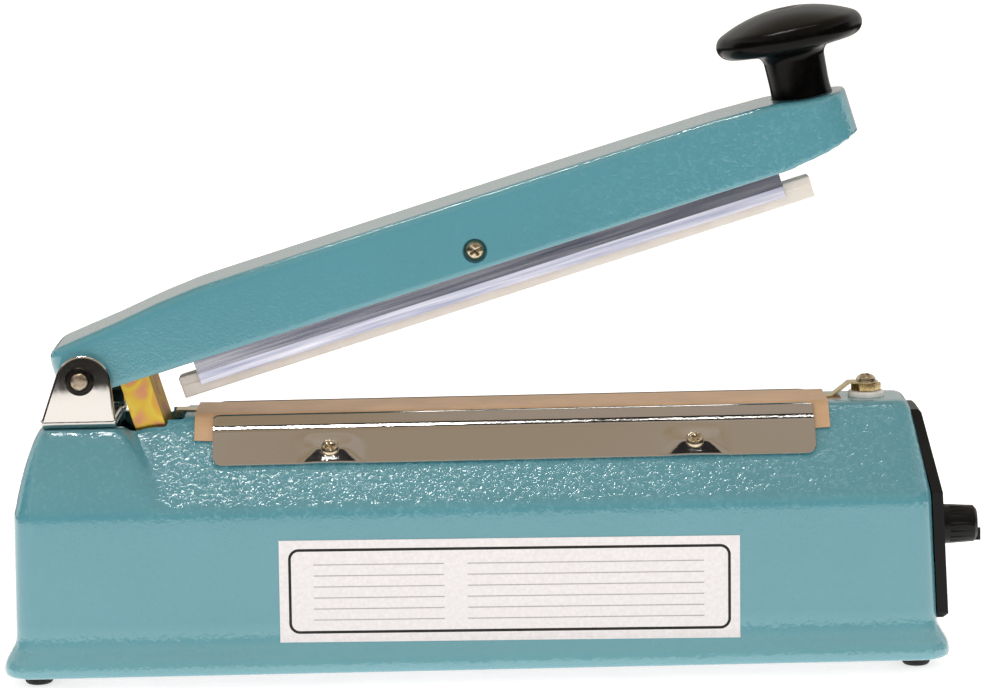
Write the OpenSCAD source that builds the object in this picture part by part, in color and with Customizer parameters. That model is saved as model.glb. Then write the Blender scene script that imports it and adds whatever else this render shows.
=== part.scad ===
// Hand impulse sealer: cast base with a sealing ridge, and a sprung arm that presses a bag on it.
// X runs along the ridge, the hinge is at the -X end and the timer at the +X end.
// The front is -Y, and the rubber feet stand on z = 0.

/* [Base casting] */
// Length of the base over its flared foot
body_l = 306; // [280:1:340]
// Width of the base over its flared foot
body_w = 80; // [74:1:100]
// Height of the sealing ridge above the table
ridge_z = 85.4; // [80:0.2:95]
// Width of the ridge between its rounded edges
ridge_w = 24; // [22:0.5:30]
// Radius of the ridge's edges
ridge_r = 3; // [2.8:0.1:4]
// Height of the crease between walls and roof
crease_z = 58; // [50:0.5:62]
// Wall of the casting
wall = 2.6; // [2:0.1:2.8]
// How far the foot flares out
flare = 3.8; // [2:0.1:6]
// Height of the flare
flare_h = 11.7; // [8:0.1:18]
// Corner radius of the walls in plan
corner_r = 9; // [6:0.5:12]
// How far the long walls lean in up to the crease
side_lean = 0.8; // [0:0.1:2]
// How far the timer end leans in up to the crease
end_lean = 1.6; // [0:0.1:3]
// How far the timer end leans in from the crease to the ridge
end_slope = 5.2; // [3:0.1:8]

/* [Feet and bottom plate] */
// Height of the rubber feet below the casting
foot_h = 4.8; // [4:0.1:10]
// Radius of a rubber foot
foot_r = 4.6; // [4.2:0.1:7]
// Distance of the feet from the middle line
foot_y = 22; // [20:0.5:27]
// Thickness of the steel bottom plate
plate_t = 1.2; // [0.8:0.1:2]

/* [Hinge] */
// Distance of the hinge pin from the end of the base
pivot_in = 26.6; // [24:0.2:30]
// Height of the hinge pin above the hinge block
pivot_up = 15.9; // [14:0.1:18]
// Height of the hinge block above the table
block_z = 83; // [80:0.2:84]
// Width of the hinge block's top
block_w = 42; // [41:0.5:46]
// Diameter of the hinge pin
pin_d = 5.6; // [4:0.1:7]
// Thickness of the bracket's steel
ear_t = 2; // [1.5:0.1:2.5]
// Radius of the rounded top of each ear
ear_r = 9.1; // [8.6:0.1:10]
// Opening angle of the arm as it stands
open_a = 16.7; // [14:0.1:18]
// Angle of the arm when it presses on the ridge
closed_a = 2.5; // [2:0.1:4]

/* [Arm] */
// Length of the arm from the pin to its nose
arm_l = 264; // [250:1:280]
// Width of the arm
arm_w = 34; // [32:0.5:35]
// Height of the arm's top over the line of the pin
arm_h = 17; // [15:0.5:20]
// Depth of the arm's skirt under the line of the pin
arm_skirt = 6; // [5:0.2:7]
// Wall of the arm casting
arm_wall = 2.5; // [2:0.1:2.8]
// Radius of the arm's upper edges
arm_edge = 1.8; // [1.4:0.1:5]
// Distance of the cross screw from the pin
screw_s = 134.4; // [125:0.2:140]

/* [Press knob] */
// Radius of the knob's cap
knob_r = 24; // [18:0.5:27]
// Radius of the knob's stem
stem_r = 10; // [8:0.2:11]
// Height of the knob
knob_h = 30; // [26:0.5:34]
// Lean of the knob towards the nose
knob_tilt = 5.5; // [0:0.5:8]

/* [Seal] */
// Length of the pressing bar
bar_l = 200; // [180:1:204]
// Width of the pressing bar's jaw
bar_w = 12; // [10:0.5:16]
// How far the silicone strip stands out of each end of the bar
strip_over = 8; // [4:0.5:9]
// Width of the heating ribbon
ribbon_w = 3; // [2:0.5:5]
// Thickness of the release cloth
cloth_t = 0.3; // [0.2:0.05:0.4]
// Thickness of the clamp plates
clamp_t = 0.7; // [0.5:0.1:1]
// Diameter of the clamp screws
clamp_d = 3; // [2.5:0.1:4]

/* [Control end] */
// Thickness of the control panel
panel_t = 3.5; // [2.5:0.1:4.5]
// Height of the timer's axis
timer_z = 41.8; // [38:0.2:46]
// Radius of the timer knob
dial_r = 6.6; // [6.2:0.1:8]
// Length of the timer knob
dial_l = 11.6; // [9:0.2:14]
// Diameter of the timer shaft
shaft_d = 5; // [4:0.1:5.4]
// Diameter of the cord's inlet
inlet_d = 6.4; // [5:0.1:8]

/* [Inside] */
// Width of the transformer core
core_w = 57; // [48:1:66]
// Height of the transformer core
core_h = 48; // [40:1:54]
// Stack of the transformer core
core_t = 25; // [20:1:30]
// Mean diameter of the return spring
spring_d = 7; // [6:0.2:9]
// Wire of the return spring
wire_d = 1; // [0.8:0.1:1.2]
// Turns of the return spring
spring_n = 12; // [8:1:16]

/* [Hidden] */
$fn = 48;
corner_n = 5;
// Running clearance of a shaft, a seat's clearance, and the gap between pieces that move
run = 0.05;
seat = 0.05;
free = 0.3;
cut = 1;

// Places along the base
dial_gap = 1.4;
dial_nub = 1.4;
body_x0 = -(body_l + dial_gap + dial_l + dial_nub - flare + panel_t - 0.1) / 2;
body_x1 = body_x0 + body_l;
wall_x0 = body_x0 + flare;
wall_x1 = body_x1 - flare;
wall_y = body_w / 2 - flare;
crease_x0 = wall_x0 + side_lean;
crease_x1 = wall_x1 - end_lean;
crease_y = wall_y - side_lean;
ridge_x1 = crease_x1 - end_slope;
lip_h = 2;
lip_r = 0.7;

// The roof: its slope and the rounded edge of the ridge
roof_a = atan2(ridge_z - crease_z, crease_y - ridge_w / 2);
edge_y = ridge_w / 2 - ridge_r * tan(roof_a / 2);
edge_z = ridge_z - ridge_r;
ridge_corner = 5;
edge_n = 3;

// The hinge: the pin's axis, and the block and bracket that carry it
pivot_x = body_x0 + pivot_in;
pivot_z = block_z + pivot_up;
block_left = 14.6;
block_right = 13.9;
block_foot = 30.5;
ear_y = arm_w / 2 + 1;
hub_y = ear_y - free;
hub_r = 7.2;
ear_x = 1;
ear_z = pivot_up - 0.9;
bracket_left = 13.2;
bracket_right = 11.2;
bracket_bend = 3;
rivet_in = 6.8;
rivet_side = 7;
washer_t = 1.2;
washer_r = 4.8;

// The arm in its own frame: X from the pin to the nose, Z square to it
arm_tail = 8;
tail_round = 4;
nose_r = 14;
knob_s = arm_l - 13.75;
knob_seat = arm_h - 3.5;
knob_neck = knob_h - 14.6;
neck_r = 3.4;
screw_h = 0.6;
screw_r = 2;
screw_head_r = 3.4;
screw_head_t = 2.2;
screw_boss_r = 6;
screw_recess = 2.4;
screw_boss_y = 10;

// The trip leg: a channel under the arm
leg_s0 = 11;
leg_s1 = 20.8;
leg_y = 12;
leg_t = 1.2;
leg_top = 8;
leg_end = 42;
leg_rivet_r = 2;
leg_rivet_s = 15.4;
leg_rivet_h = 3;
lug_h = 2;
tab_h = 26.4;
tab_l = 8.2;
tab_y = 8;
hook_h = 38;
hook_r = 1.6;

// The slot in the roof for the trip leg, from the leg's swing
slot_gap = 0.6;
slot_side = 0.5;
slot_step = 5.5;
tab_catch = 2.46;
slot_x0 = pivot_x + leg_s0 * cos(closed_a) - slot_gap;
slot_x1 = pivot_x + (leg_s1 + tab_l) * cos(open_a) + tab_h * sin(open_a) - tab_catch;
slot_mid = slot_x1 - slot_step;
slot_neck = leg_y + slot_side;
slot_y = slot_neck + 2;

// The pressing bar's section, measured from the line of the pin
bar_top = arm_skirt + 1;
flange_t = 4.3;
jaw_h = 3.8;
bar_mid = bar_top + flange_t;
bar_end = bar_mid + jaw_h;
bar_off = 1;
fin_t = 5;
fin_h = 6;
knob_boss = fin_h + screw_head_t + 3 * free;
flange_w = bar_w + 2;
groove_w = bar_w - 3.6;
mouth_w = groove_w - 2;
lips = 1.2;
jaw_draft = 0.4;
groove_in = 0.5;
groove_top = bar_mid - groove_in;
strip_fit = 0.1;
strip_out = 3.05;
strip_end = bar_end + strip_out;
strip_off = 2.2;

// The seal on the ridge, between the slot and the terminal
cloth_gap = 3.4;
cloth_end = 26.5;
cloth_x0 = slot_x1 + cloth_gap;
cloth_x1 = ridge_x1 - cloth_end;
cloth_l = cloth_x1 - cloth_x0;
seal_x = (cloth_x0 + cloth_x1) / 2;
clamp_in = 5;
clamp_l = cloth_l - 2 * clamp_in;
bed_w = 12;
bed_t = 1.2;
bed_over = 5;
ribbon_t = 0.3;
cloth_in = ribbon_t + 2 * seat;
cloth_drop = 10;
clamp_tip = 2.1;
clamp_bend = 7;
clamp_rise = 1.1;
clamp_end = 20.7;
clamp_a = atan2(clamp_rise, clamp_end - clamp_bend);
clamp_screw = 13.9;
clamp_pitch = 118;
clamp_corner = 3;
clamp_head_r = 2.7;
clamp_head_t = 1.8;

// The terminal at the timer end of the heating ribbon
post_gap = 13.6;
post_x = cloth_x1 + post_gap;
post_r = 2;
bush_r = 6;
bush_t = 1.8;
nut_r = 5;
nut_t = 2.4;
lug_t = 0.5;
lug_l = 7;
lug_w = 6;
lug_r = 4;
post_head_r = 3.2;
post_head_t = 2.4;

// The control panel follows the end wall at a seat's distance
panel_z0 = foot_h + flare_h;
panel_z1 = ridge_z - 3.5;
panel_y = crease_y - corner_r + 3;
panel_bevel = 1.5;
panel_screw_r = 1.5;
panel_head_r = 2.7;
panel_sink = 1.6;
pad_r = 8.6;
pad_x = body_x1 - flare + panel_t - 0.1;
window_y = 20;
window_z0 = 24;
window_z1 = crease_z - 4;
lamp_z = 67;
lamp_r = 4;
lamp_rim = 0.8;
lamp_rise = 0.6;
pot_r = 8;
pot_t = 10;
pot_x = crease_x1 - seat;
thread_r = 3.6;
thread_l = 3.2;
hex_r = 4.8;
hex_t = 1.2;
dial_bore_l = 9;
dial_x = pad_x + dial_gap;

// Bottom plate, feet and their bosses
plate_z = foot_h + plate_t + 0.6;
boss_r = 4.6;
foot_in = flare + wall + boss_r - 1;
boss_h = 16;
foot_screw_r = 1.6;
foot_head_r = 2.6;
foot_head_t = 2;

// Micro switch and its lever, left of the trip leg
switch_x = pivot_x + 4.2;
switch_z = 40;
switch_t = 6.4;
switch_l = 20;
switch_w = 10;
switch_gap = 1.8;
lever_l = 28.6;
lever_a = 36.5;
lever_t = 0.6;
lever_w = 4.4;
lever_hub = 1.6;
lever_pin = 0.8;

// Return spring between the trip leg and a boss under the ridge
spring_x0 = pivot_x + leg_s1 * cos(open_a) + hook_h * sin(open_a) + free;
spring_z = pivot_z + leg_s1 * sin(open_a) - hook_h * cos(open_a);
spring_l = 46;
spring_x1 = spring_x0 + spring_l;
anchor_r = 4;
anchor_pin_r = 1.5;

// Timer board
board_l = 46;
board_end = 12.3;
board_x0 = wall_x1 - board_end - board_l;
board_w = 46;
board_t = 1.6;
board_up = 8;
post_in = 4;
board_hole = 1.5;
board_post_r = 2.8;
board_head_r = 2.4;
board_head_t = 1.4;
relay = [19, 15, 15];
relay_at = [14, -17];
can_r = 5;
can_h = 11;
can_at = [30, 10];
block = [8, 20, 9];
block_at = [2, -9];
power = [5, 10, 12];
power_at = [16, 4];

// Cord inlet in the rear wall
inlet_end = 40.3;
inlet_x = wall_x1 - inlet_end;
inlet_z = 30;
inlet_wall = 1.9;
inlet_flange = 1.7;

// A closed skin over a stack of outlines that have the same number of points
module loft(rings) {
  n = len(rings[0]);
  m = len(rings);
  sides = [
    for (j = [0 : m - 2], i = [0 : n - 1], half = [0, 1])
      let (a = j * n + i, b = j * n + (i + 1) % n)
        half == 0 ? [a, a + n, b + n] : [a, b + n, b]
  ];
  first = [[for (i = [0 : n - 1]) i]];
  last = [[for (i = [0 : n - 1]) m * n - 1 - i]];
  polyhedron(points = [for (ring = rings) each ring], faces = concat(first, sides, last));
}

// One level of the base casting: a rectangle with rounded corners at height z
function level(x0, x1, hy, r, z) = [
  for (c = [0 : 3], i = [0 : corner_n])
    let (
      a = 90 * (c - 1) + 90 * i / corner_n,
      cx = c < 2 ? x1 - r : x0 + r,
      cy = c == 1 || c == 2 ? hy - r : r - hy
    ) [cx + r * cos(a), cy + r * sin(a), z]
];

// A point of the roof: u down the slope from the ridge's corner, d out from its face
function slope(u, d) = [
  ridge_w / 2 + u * cos(roof_a) + d * sin(roof_a),
  ridge_z - u * sin(roof_a) + d * cos(roof_a)
];

// The roof's line from the middle of the ridge down to u, at distance d
function roof_line(u, d) = concat(
  [for (i = [0 : 4])
    let (a = 90 - roof_a * i / 4)
      [edge_y + (ridge_r + d) * cos(a), edge_z + (ridge_r + d) * sin(a)]],
  [slope(u, d)]
);

function flip(line) = [for (i = [len(line) - 1 : -1 : 0]) [-line[i][0], line[i][1]]];
function back(line) = [for (i = [len(line) - 1 : -1 : 0]) line[i]];

// The end wall at the timer, by height
function end_x(z) = lookup(z, [
  [flare_h + foot_h, wall_x1], [crease_z, crease_x1], [ridge_z, ridge_x1]
]);

// Levels of the base from its foot to the ridge, drawn in by d
function wall_levels(d) = [
  for (t = [0 : 0.25 : 1])
    let (f = flare * (1 - (1 - t) * (1 - t)) + d)
      level(body_x0 + f, body_x1 - f, body_w / 2 - f, corner_r - d, foot_h + lip_h + t * (flare_h - lip_h))
];
function crease_level(d) = level(
  crease_x0 + d, crease_x1 - d, crease_y - d, corner_r - d, crease_z - d * tan(45 - roof_a / 2)
);
function roof_levels(d) = [
  for (i = [0 : edge_n])
    let (
      a = 90 - roof_a + roof_a * i / edge_n,
      r = max(ridge_r - d, 0.2),
      z = edge_z + r * sin(a),
      up = (z - crease_z) / (ridge_z - crease_z),
      x0 = crease_x0 + up * (slot_mid - 6 - crease_x0),
      round_x = ridge_r * 0.6 * i / edge_n
    ) level(x0 + d, end_x(z) - round_x - d, edge_y + r * cos(a), ridge_corner, z)
];
function block_level(up, d) =
  let (
    bulge = 3.6 * up * (1 - up),
    round_in = up > 0.9 ? 14 * (up - 0.9) : 0,
    x0 = crease_x0 + 0.2 + up * (pivot_x - block_left - crease_x0) - bulge,
    x1 = pivot_x + block_foot + up * (block_right - block_foot) + bulge,
    hy = crease_y - 0.1 + up * (block_w / 2 - crease_y) + bulge
  ) level(
    x0 + d + round_in, x1 - d - round_in, hy - d - round_in, corner_r - d,
    crease_z + up * (block_z - crease_z) - d
  );
function block_levels(d) = concat(
  [level(
    crease_x0 + 0.5 + d, pivot_x + block_foot - 0.4 - d, crease_y - 0.4 - d, corner_r - d, crease_z - 4 - d
  )],
  [for (up = [0, 0.3, 0.6, 0.9, 0.96, 1]) block_level(up, d)]
);

module base_outside() {
  loft(concat(
    [level(body_x0 + lip_r, body_x1 - lip_r, body_w / 2 - lip_r, corner_r - lip_r, foot_h)],
    wall_levels(0), [crease_level(0)], roof_levels(0)
  ));
  loft(block_levels(0));
}

module base_inside() {
  f = flare + wall;
  loft(concat(
    [for (z = [plate_z - seat, foot_h + flare_h])
      level(body_x0 + f, body_x1 - f, body_w / 2 - f, corner_r - wall, z)],
    [crease_level(wall)], roof_levels(wall)
  ));
  loft(block_levels(wall));
}

// A plate with rounded corners
module round_plate(x0, x1, hy, r, t) {
  linear_extrude(t) {
    translate([x0 + r, -hy]) square([x1 - x0 - 2 * r, 2 * hy]);
    translate([x0, r - hy]) square([x1 - x0, 2 * (hy - r)]);
    for (x = [x0 + r, x1 - r], y = [r - hy, hy - r]) translate([x, y]) circle(r);
  }
}

// Runs along X with its section in Y and Z
module along_x(l) {
  rotate([90, 0, 90]) linear_extrude(l) children();
}

// Runs along Y with its section in X and Z, centred on the middle line
module along_y(w) {
  rotate([90, 0, 0]) linear_extrude(w, center = true) children();
}

// A round bar across the machine
module cross_bar(r, y0, y1) {
  translate([0, y1, 0]) rotate([90, 0, 0]) cylinder(r = r, h = y1 - y0);
}

module at_feet() {
  for (x = [body_x0 + foot_in, body_x1 - foot_in], y = [-foot_y, foot_y])
    translate([x, y, 0]) children();
}

// Square to the front roof at distance u from the ridge, Z pointing out
module on_roof(x, u) {
  p = slope(u, 0);
  translate([x, -p[0], p[1]]) rotate([roof_a, 0, 0]) children();
}

// Square to the front clamp plate at a screw, Z pointing out
module on_clamp(x) {
  on_roof(x, clamp_screw) rotate([clamp_a, 0, 0]) children();
}

module at_clamp_screws() {
  for (side = [0, 1], x = [-clamp_pitch / 2, clamp_pitch / 2])
    mirror([0, side, 0]) on_clamp(seal_x + x) children();
}

// Placed on the timer's axis, Z pointing out of the end
module on_timer(x) {
  translate([x, 0, timer_z]) rotate([0, 90, 0]) children();
}

// Square to the panel's upper face at the lamp, Z pointing out
module on_lamp() {
  tilt = atan2(crease_x1 - ridge_x1, ridge_z - crease_z);
  translate([end_x(lamp_z), 0, lamp_z]) rotate([0, 90 - tilt, 0]) children();
}

module at_panel_screws() {
  for (y = [-panel_y + 4.5, panel_y - 4.5])
    translate([end_x(panel_z0 + 6), y, panel_z0 + 6]) rotate([0, 90, 0]) children();
}

module at_rivets() {
  for (y = [rivet_side - ear_y, ear_y - rivet_side])
    translate([pivot_x - bracket_left + rivet_in, y, block_z]) children();
}

module on_arm() {
  translate([pivot_x, 0, pivot_z]) rotate([0, -open_a, 0]) children();
}

// The press knob's seat on the arm, Z along the knob
module at_knob() {
  translate([knob_s, 0, knob_seat]) rotate([0, knob_tilt, 0]) children();
}

module housing() {
  color("cadetblue") difference() {
    union() {
      difference() {
        base_outside();
        base_inside();
      }
      at_feet() translate([0, 0, plate_z]) cylinder(r = boss_r, h = boss_h);
      translate([spring_x1 + anchor_r, 0, spring_z - anchor_r])
        cylinder(r = anchor_r, h = ridge_z - wall / 2 - spring_z + anchor_r);
    }
    translate([0, 0, foot_h - cut])
      round_plate(body_x0 + wall, body_x1 - wall, body_w / 2 - wall, corner_r - wall, plate_z - foot_h + cut);
    at_feet() translate([0, 0, foot_h]) cylinder(r = foot_screw_r, h = boss_h - 2);
    translate([slot_x0, -slot_y, crease_z]) cube([slot_mid - slot_x0, 2 * slot_y, ridge_z]);
    translate([slot_x0, -slot_neck, crease_z]) cube([slot_x1 - slot_x0, 2 * slot_neck, ridge_z]);
    translate([cloth_x0, -bed_w / 2 - seat, ridge_z - bed_t])
      cube([cloth_l + bed_over, bed_w + 2 * seat, bed_t + cut]);
    at_clamp_screws() cylinder(r = clamp_d / 2 + seat, h = 4 * wall, center = true);
    translate([post_x, 0, ridge_z - 2 * wall]) cylinder(r = bush_r / 2 + seat, h = 3 * wall);
    translate([ridge_x1 - 10, -window_y, window_z0])
      cube([wall_x1 - ridge_x1 + 20, 2 * window_y, window_z1 - window_z0]);
    on_lamp() cylinder(r = lamp_r + seat, h = 6 * wall, center = true);
    at_panel_screws() cylinder(r = panel_screw_r, h = 6 * wall, center = true);
    at_rivets() cylinder(r = leg_rivet_r + seat, h = 4 * wall, center = true);
    translate([inlet_x, 0, inlet_z])
      cross_bar(inlet_d / 2 + inlet_wall + seat, wall_y - 4 * wall, body_w / 2);
    translate([spring_x1 + anchor_r, 0, spring_z])
      cross_bar(anchor_pin_r + seat, -2 * anchor_r, 2 * anchor_r);
  }
}

module bottom_plate() {
  gap = wall + 0.15;
  color("lightslategray") difference() {
    translate([0, 0, plate_z - plate_t])
      round_plate(body_x0 + gap, body_x1 - gap, body_w / 2 - gap, corner_r - gap, plate_t);
    at_feet() cylinder(r = foot_screw_r + seat, h = plate_z + cut);
  }
}

module rubber_feet() {
  top = plate_z - plate_t;
  color([0.1, 0.1, 0.1]) at_feet() rotate_extrude() difference() {
    union() {
      translate([0, 2]) square([foot_r, top - 2]);
      intersection() {
        square([foot_r, 3]);
        translate([0, 2]) scale(1) circle(foot_r);
      }
    }
    square([foot_head_r + 0.4, foot_head_t + 0.6]);
    square([foot_screw_r + seat, top + cut]);
    translate([foot_r - 0.6, 0]) square([2, 0.6]);
  }
}

module foot_screws() {
  color("gainsboro") at_feet() translate([0, 0, 0.6]) {
    cylinder(r = foot_head_r, h = foot_head_t);
    cylinder(r = foot_screw_r - seat, h = plate_z + boss_h - 8);
  }
}

// One ear of the bracket: a slanted plate that ends in a round top
module ear_outline() {
  difference() {
    union() {
      translate([ear_x, ear_z]) circle(ear_r);
      polygon([
        [-bracket_left, 0], [bracket_right, 0], [ear_x + ear_r, ear_z], [ear_x, ear_z],
        [ear_x - ear_r * cos(18), ear_z + ear_r * sin(18)], [-bracket_left, 2]
      ]);
    }
    translate([0, pivot_up]) circle(pin_d / 2 + seat);
  }
}

module hinge_bracket() {
  base_end = slot_x0 - pivot_x - free;
  inside = bracket_bend - ear_t;
  long = bracket_left + bracket_right;
  color("silver") translate([pivot_x, 0, block_z]) {
    for (side = [-1, 1]) translate([0, side * (ear_y + ear_t / 2), 0]) intersection() {
      along_y(ear_t) ear_outline();
      translate([-50, -20, bracket_bend]) cube([100, 40, 60]);
    }
    difference() {
      union() {
        translate([-bracket_left, -ear_y + inside, 0])
          cube([bracket_left + base_end, 2 * (ear_y - inside), ear_t]);
        for (side = [0, 1]) mirror([0, side, 0]) intersection() {
          translate([-bracket_left, ear_y - inside, bracket_bend]) along_x(long) difference() {
            circle(bracket_bend);
            circle(inside);
          }
          translate([-bracket_left, ear_y - inside, 0]) cube([long, bracket_bend, bracket_bend]);
        }
      }
      translate([-pivot_x, 0, -block_z]) at_rivets() cylinder(r = leg_rivet_r + seat, h = 20, center = true);
    }
  }
}

module bracket_rivets() {
  color("silver") at_rivets() {
    translate([0, 0, ear_t]) rotate_extrude() intersection() {
      translate([0, -2.6]) circle(4);
      square([4, 4]);
    }
    translate([0, 0, -wall - 0.2]) cylinder(r = leg_rivet_r, h = ear_t + wall + 0.2);
    translate([0, 0, -wall - 1.2]) cylinder(r = 3.2, h = 1.1);
  }
}

module pivot_pin() {
  end_y = ear_y + ear_t + washer_t + 0.9;
  color("darkkhaki") translate([pivot_x, 0, pivot_z]) {
    cross_bar(pin_d / 2, -end_y, end_y);
    for (side = [0, 1]) mirror([0, side, 0]) translate([0, -end_y, 0])
      rotate([90, 0, 0]) cylinder(r1 = pin_d / 2, r2 = pin_d / 2 - 0.5, h = 0.5);
  }
}

module pivot_washers() {
  color("dimgray") translate([pivot_x, 0, pivot_z])
    for (side = [0, 1]) mirror([0, side, 0])
      translate([0, -ear_y - ear_t - seat, 0]) rotate([90, 0, 0]) difference() {
        cylinder(r1 = washer_r, r2 = washer_r - 0.8, h = washer_t);
        translate([0, 0, -cut]) cylinder(r = pin_d / 2 + seat, h = washer_t + 2 * cut);
      }
}

module element_bed() {
  color("tan") translate([cloth_x0 + seat, -bed_w / 2, ridge_z - bed_t])
    cube([cloth_l + bed_over - 2 * seat, bed_w, bed_t]);
}

// Flat heating ribbon with a folded lug at the hinge end and an eyelet at the terminal
module heating_element() {
  z = ridge_z + seat;
  end = cloth_x1;
  eye_z = ridge_z + bush_t + nut_t + 3 * seat;
  eye_x = post_x - nut_r - 0.5;
  left = cloth_x0 - lug_l;
  rise = 2.4;
  color("peru") {
    translate([cloth_x0, -ribbon_w / 2, z]) cube([cloth_l, ribbon_w, ribbon_t]);
    difference() {
      union() {
        along_y(lug_w) polygon([
          [end - 2, z], [end + rise, z], [eye_x, eye_z], [post_x, eye_z], [post_x, eye_z + lug_t],
          [eye_x - 0.4, eye_z + lug_t], [end + rise - 0.3, z + lug_t], [end, z + ribbon_t],
          [end - 2, z + ribbon_t]
        ]);
        translate([post_x, 0, eye_z]) cylinder(r = lug_r, h = lug_t);
      }
      translate([post_x, 0, eye_z - cut]) cylinder(r = post_r + seat, h = lug_t + 2 * cut);
    }
    along_y(lug_w) polygon([
      [left + lug_l + 2, z], [left + lug_t, z], [left + lug_t, z - 1.8], [left, z - 1.8], [left, z + lug_t],
      [left + lug_l / 2, z + lug_t], [left + lug_l, z + ribbon_t], [left + lug_l + 2, z + ribbon_t]
    ]);
  }
}

module release_cloth() {
  inner = roof_line(cloth_drop, cloth_in);
  outer = roof_line(cloth_drop, cloth_in + cloth_t);
  color("burlywood") translate([cloth_x0, 0, 0]) along_x(cloth_l)
    polygon(concat(flip(outer), outer, back(inner), back(flip(inner))));
}

// A bent plate that holds one edge of the cloth, with dished screw seats
module clamp_plate() {
  cover = cloth_in + cloth_t + seat;
  bend = cover + clamp_rise;
  face = [slope(clamp_tip, cover), slope(clamp_bend, bend), slope(clamp_end, cover)];
  skin = [
    slope(clamp_end, cover + clamp_t), slope(clamp_bend - 0.1, bend + clamp_t),
    slope(clamp_tip, cover + clamp_t)
  ];
  difference() {
    mirror([0, 1, 0]) translate([seal_x - clamp_l / 2, 0, 0]) along_x(clamp_l) polygon(concat(face, skin));
    for (side = [0, 1]) translate([seal_x, 0, 0]) mirror([side, 0, 0])
      on_roof(clamp_l / 2, clamp_end) difference() {
        translate([-clamp_corner, -cut, -cut]) cube([clamp_corner + cut, clamp_corner + cut, 6]);
        translate([-clamp_corner, clamp_corner, -2 * cut]) cylinder(r = clamp_corner, h = 8);
      }
    for (x = [-clamp_pitch / 2, clamp_pitch / 2])
      on_clamp(seal_x + x) cylinder(r = clamp_d / 2 + 0.2, h = 12, center = true);
  }
}

module cloth_clamp_front() {
  color("silver") clamp_plate();
}

module cloth_clamp_rear() {
  color("silver") mirror([0, 1, 0]) clamp_plate();
}

module clamp_screws() {
  lift = clamp_rise * (clamp_end - clamp_screw) / (clamp_end - clamp_bend);
  under = (cloth_in + cloth_t + lift + clamp_t) * cos(clamp_a) + 2 * seat;
  color("gainsboro") at_clamp_screws() {
    translate([0, 0, under]) rotate_extrude() intersection() {
      translate([0, -2.1]) circle(clamp_head_t + 2.1);
      square([clamp_head_r, 4]);
    }
    translate([0, 0, -2 * wall]) cylinder(r = clamp_d / 2, h = 2 * wall + under);
  }
}

module terminal_bush() {
  color("whitesmoke") translate([post_x, 0, ridge_z]) difference() {
    union() {
      translate([0, 0, seat]) cylinder(r = bush_r, h = bush_t - seat);
      translate([0, 0, -wall - 1]) cylinder(r = bush_r / 2, h = wall + 1 + bush_t);
    }
    translate([0, 0, -4 * wall]) cylinder(r = post_r + seat, h = 6 * wall);
  }
}

module terminal_nut() {
  color("goldenrod") translate([post_x, 0, ridge_z + bush_t + seat]) difference() {
    cylinder(r = nut_r, h = nut_t, $fn = 6);
    translate([0, 0, -cut]) cylinder(r = post_r + seat, h = nut_t + 2 * cut);
  }
}

module terminal_screw() {
  top = bush_t + nut_t + lug_t + 4 * seat;
  color("gainsboro") translate([post_x, 0, ridge_z]) {
    translate([0, 0, -3 * wall]) cylinder(r = post_r, h = 3 * wall + top);
    translate([0, 0, top]) rotate_extrude() intersection() {
      translate([0, post_head_t - 5]) circle(5);
      square([post_head_r, post_head_t]);
    }
  }
}

// The panel's face: straight up to the crease, then drawn in with the roof
module panel_outline() {
  narrow = (panel_z1 - crease_z) / tan(roof_a);
  polygon([
    [-panel_y + 2, panel_z0], [panel_y - 2, panel_z0], [panel_y, panel_z0 + 2], [panel_y, crease_z],
    [panel_y - narrow, panel_z1], [narrow - panel_y, panel_z1], [-panel_y, crease_z], [-panel_y, panel_z0 + 2]
  ]);
}

module control_panel() {
  low = end_x(panel_z0) + seat;
  knee = crease_x1 + seat;
  top = end_x(panel_z1) + seat;
  color([0.12, 0.12, 0.12]) difference() {
    union() {
      intersection() {
        along_y(2 * panel_y + cut) polygon([
          [low, panel_z0], [low + panel_t - panel_bevel, panel_z0], [low + panel_t, panel_z0 + panel_bevel],
          [knee + panel_t, crease_z], [top + panel_t, panel_z1 - 1], [top + panel_t - 1.2, panel_z1],
          [top, panel_z1], [knee, crease_z], [end_x(flare_h + foot_h) + seat, flare_h + foot_h]
        ]);
        translate([ridge_x1 - 20, 0, 0]) along_x(2 * body_x1) panel_outline();
      }
      on_timer(crease_x1) cylinder(r = pad_r, h = pad_x - crease_x1);
    }
    on_timer(ridge_x1) cylinder(r = thread_r + seat, h = body_l);
    on_lamp() cylinder(r = lamp_r + seat, h = 20, center = true);
    at_panel_screws() {
      cylinder(r = panel_screw_r + seat, h = 20, center = true);
      translate([0, 0, panel_t - panel_sink]) cylinder(r = panel_head_r + 2 * seat, h = 10);
    }
  }
}

// Flat heads sunk in the panel's face
module panel_screws() {
  under = panel_t - panel_sink + seat;
  color("gainsboro") at_panel_screws() {
    translate([0, 0, -2 * wall]) cylinder(r = panel_screw_r - seat, h = 2 * wall + under + seat);
    translate([0, 0, under]) cylinder(r = panel_head_r, h = panel_sink - 6 * seat);
  }
}

module timer_control() {
  color("gray") difference() {
    union() {
      on_timer(pot_x - pot_t) cylinder(r = pot_r, h = pot_t);
      on_timer(pot_x - seat) cylinder(r = thread_r, h = pad_x - pot_x + thread_l);
      translate([pot_x - pot_t, -pot_r / 2, timer_z - pot_r - 4]) cube([2, pot_r, 6]);
    }
    on_timer(pot_x - pot_t + 2) cylinder(r = shaft_d / 2 + run, h = 40);
  }
}

module timer_nut() {
  color("silver") difference() {
    on_timer(pad_x + seat) cylinder(r = hex_r, h = hex_t, $fn = 6);
    on_timer(pad_x - cut) cylinder(r = thread_r + seat, h = 4 * cut);
  }
}

module timer_shaft() {
  start = pot_x - pot_t + 2 + free;
  color("lightgray") on_timer(start) cylinder(r = shaft_d / 2, h = dial_x + dial_bore_l - seat - start);
}

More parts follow.
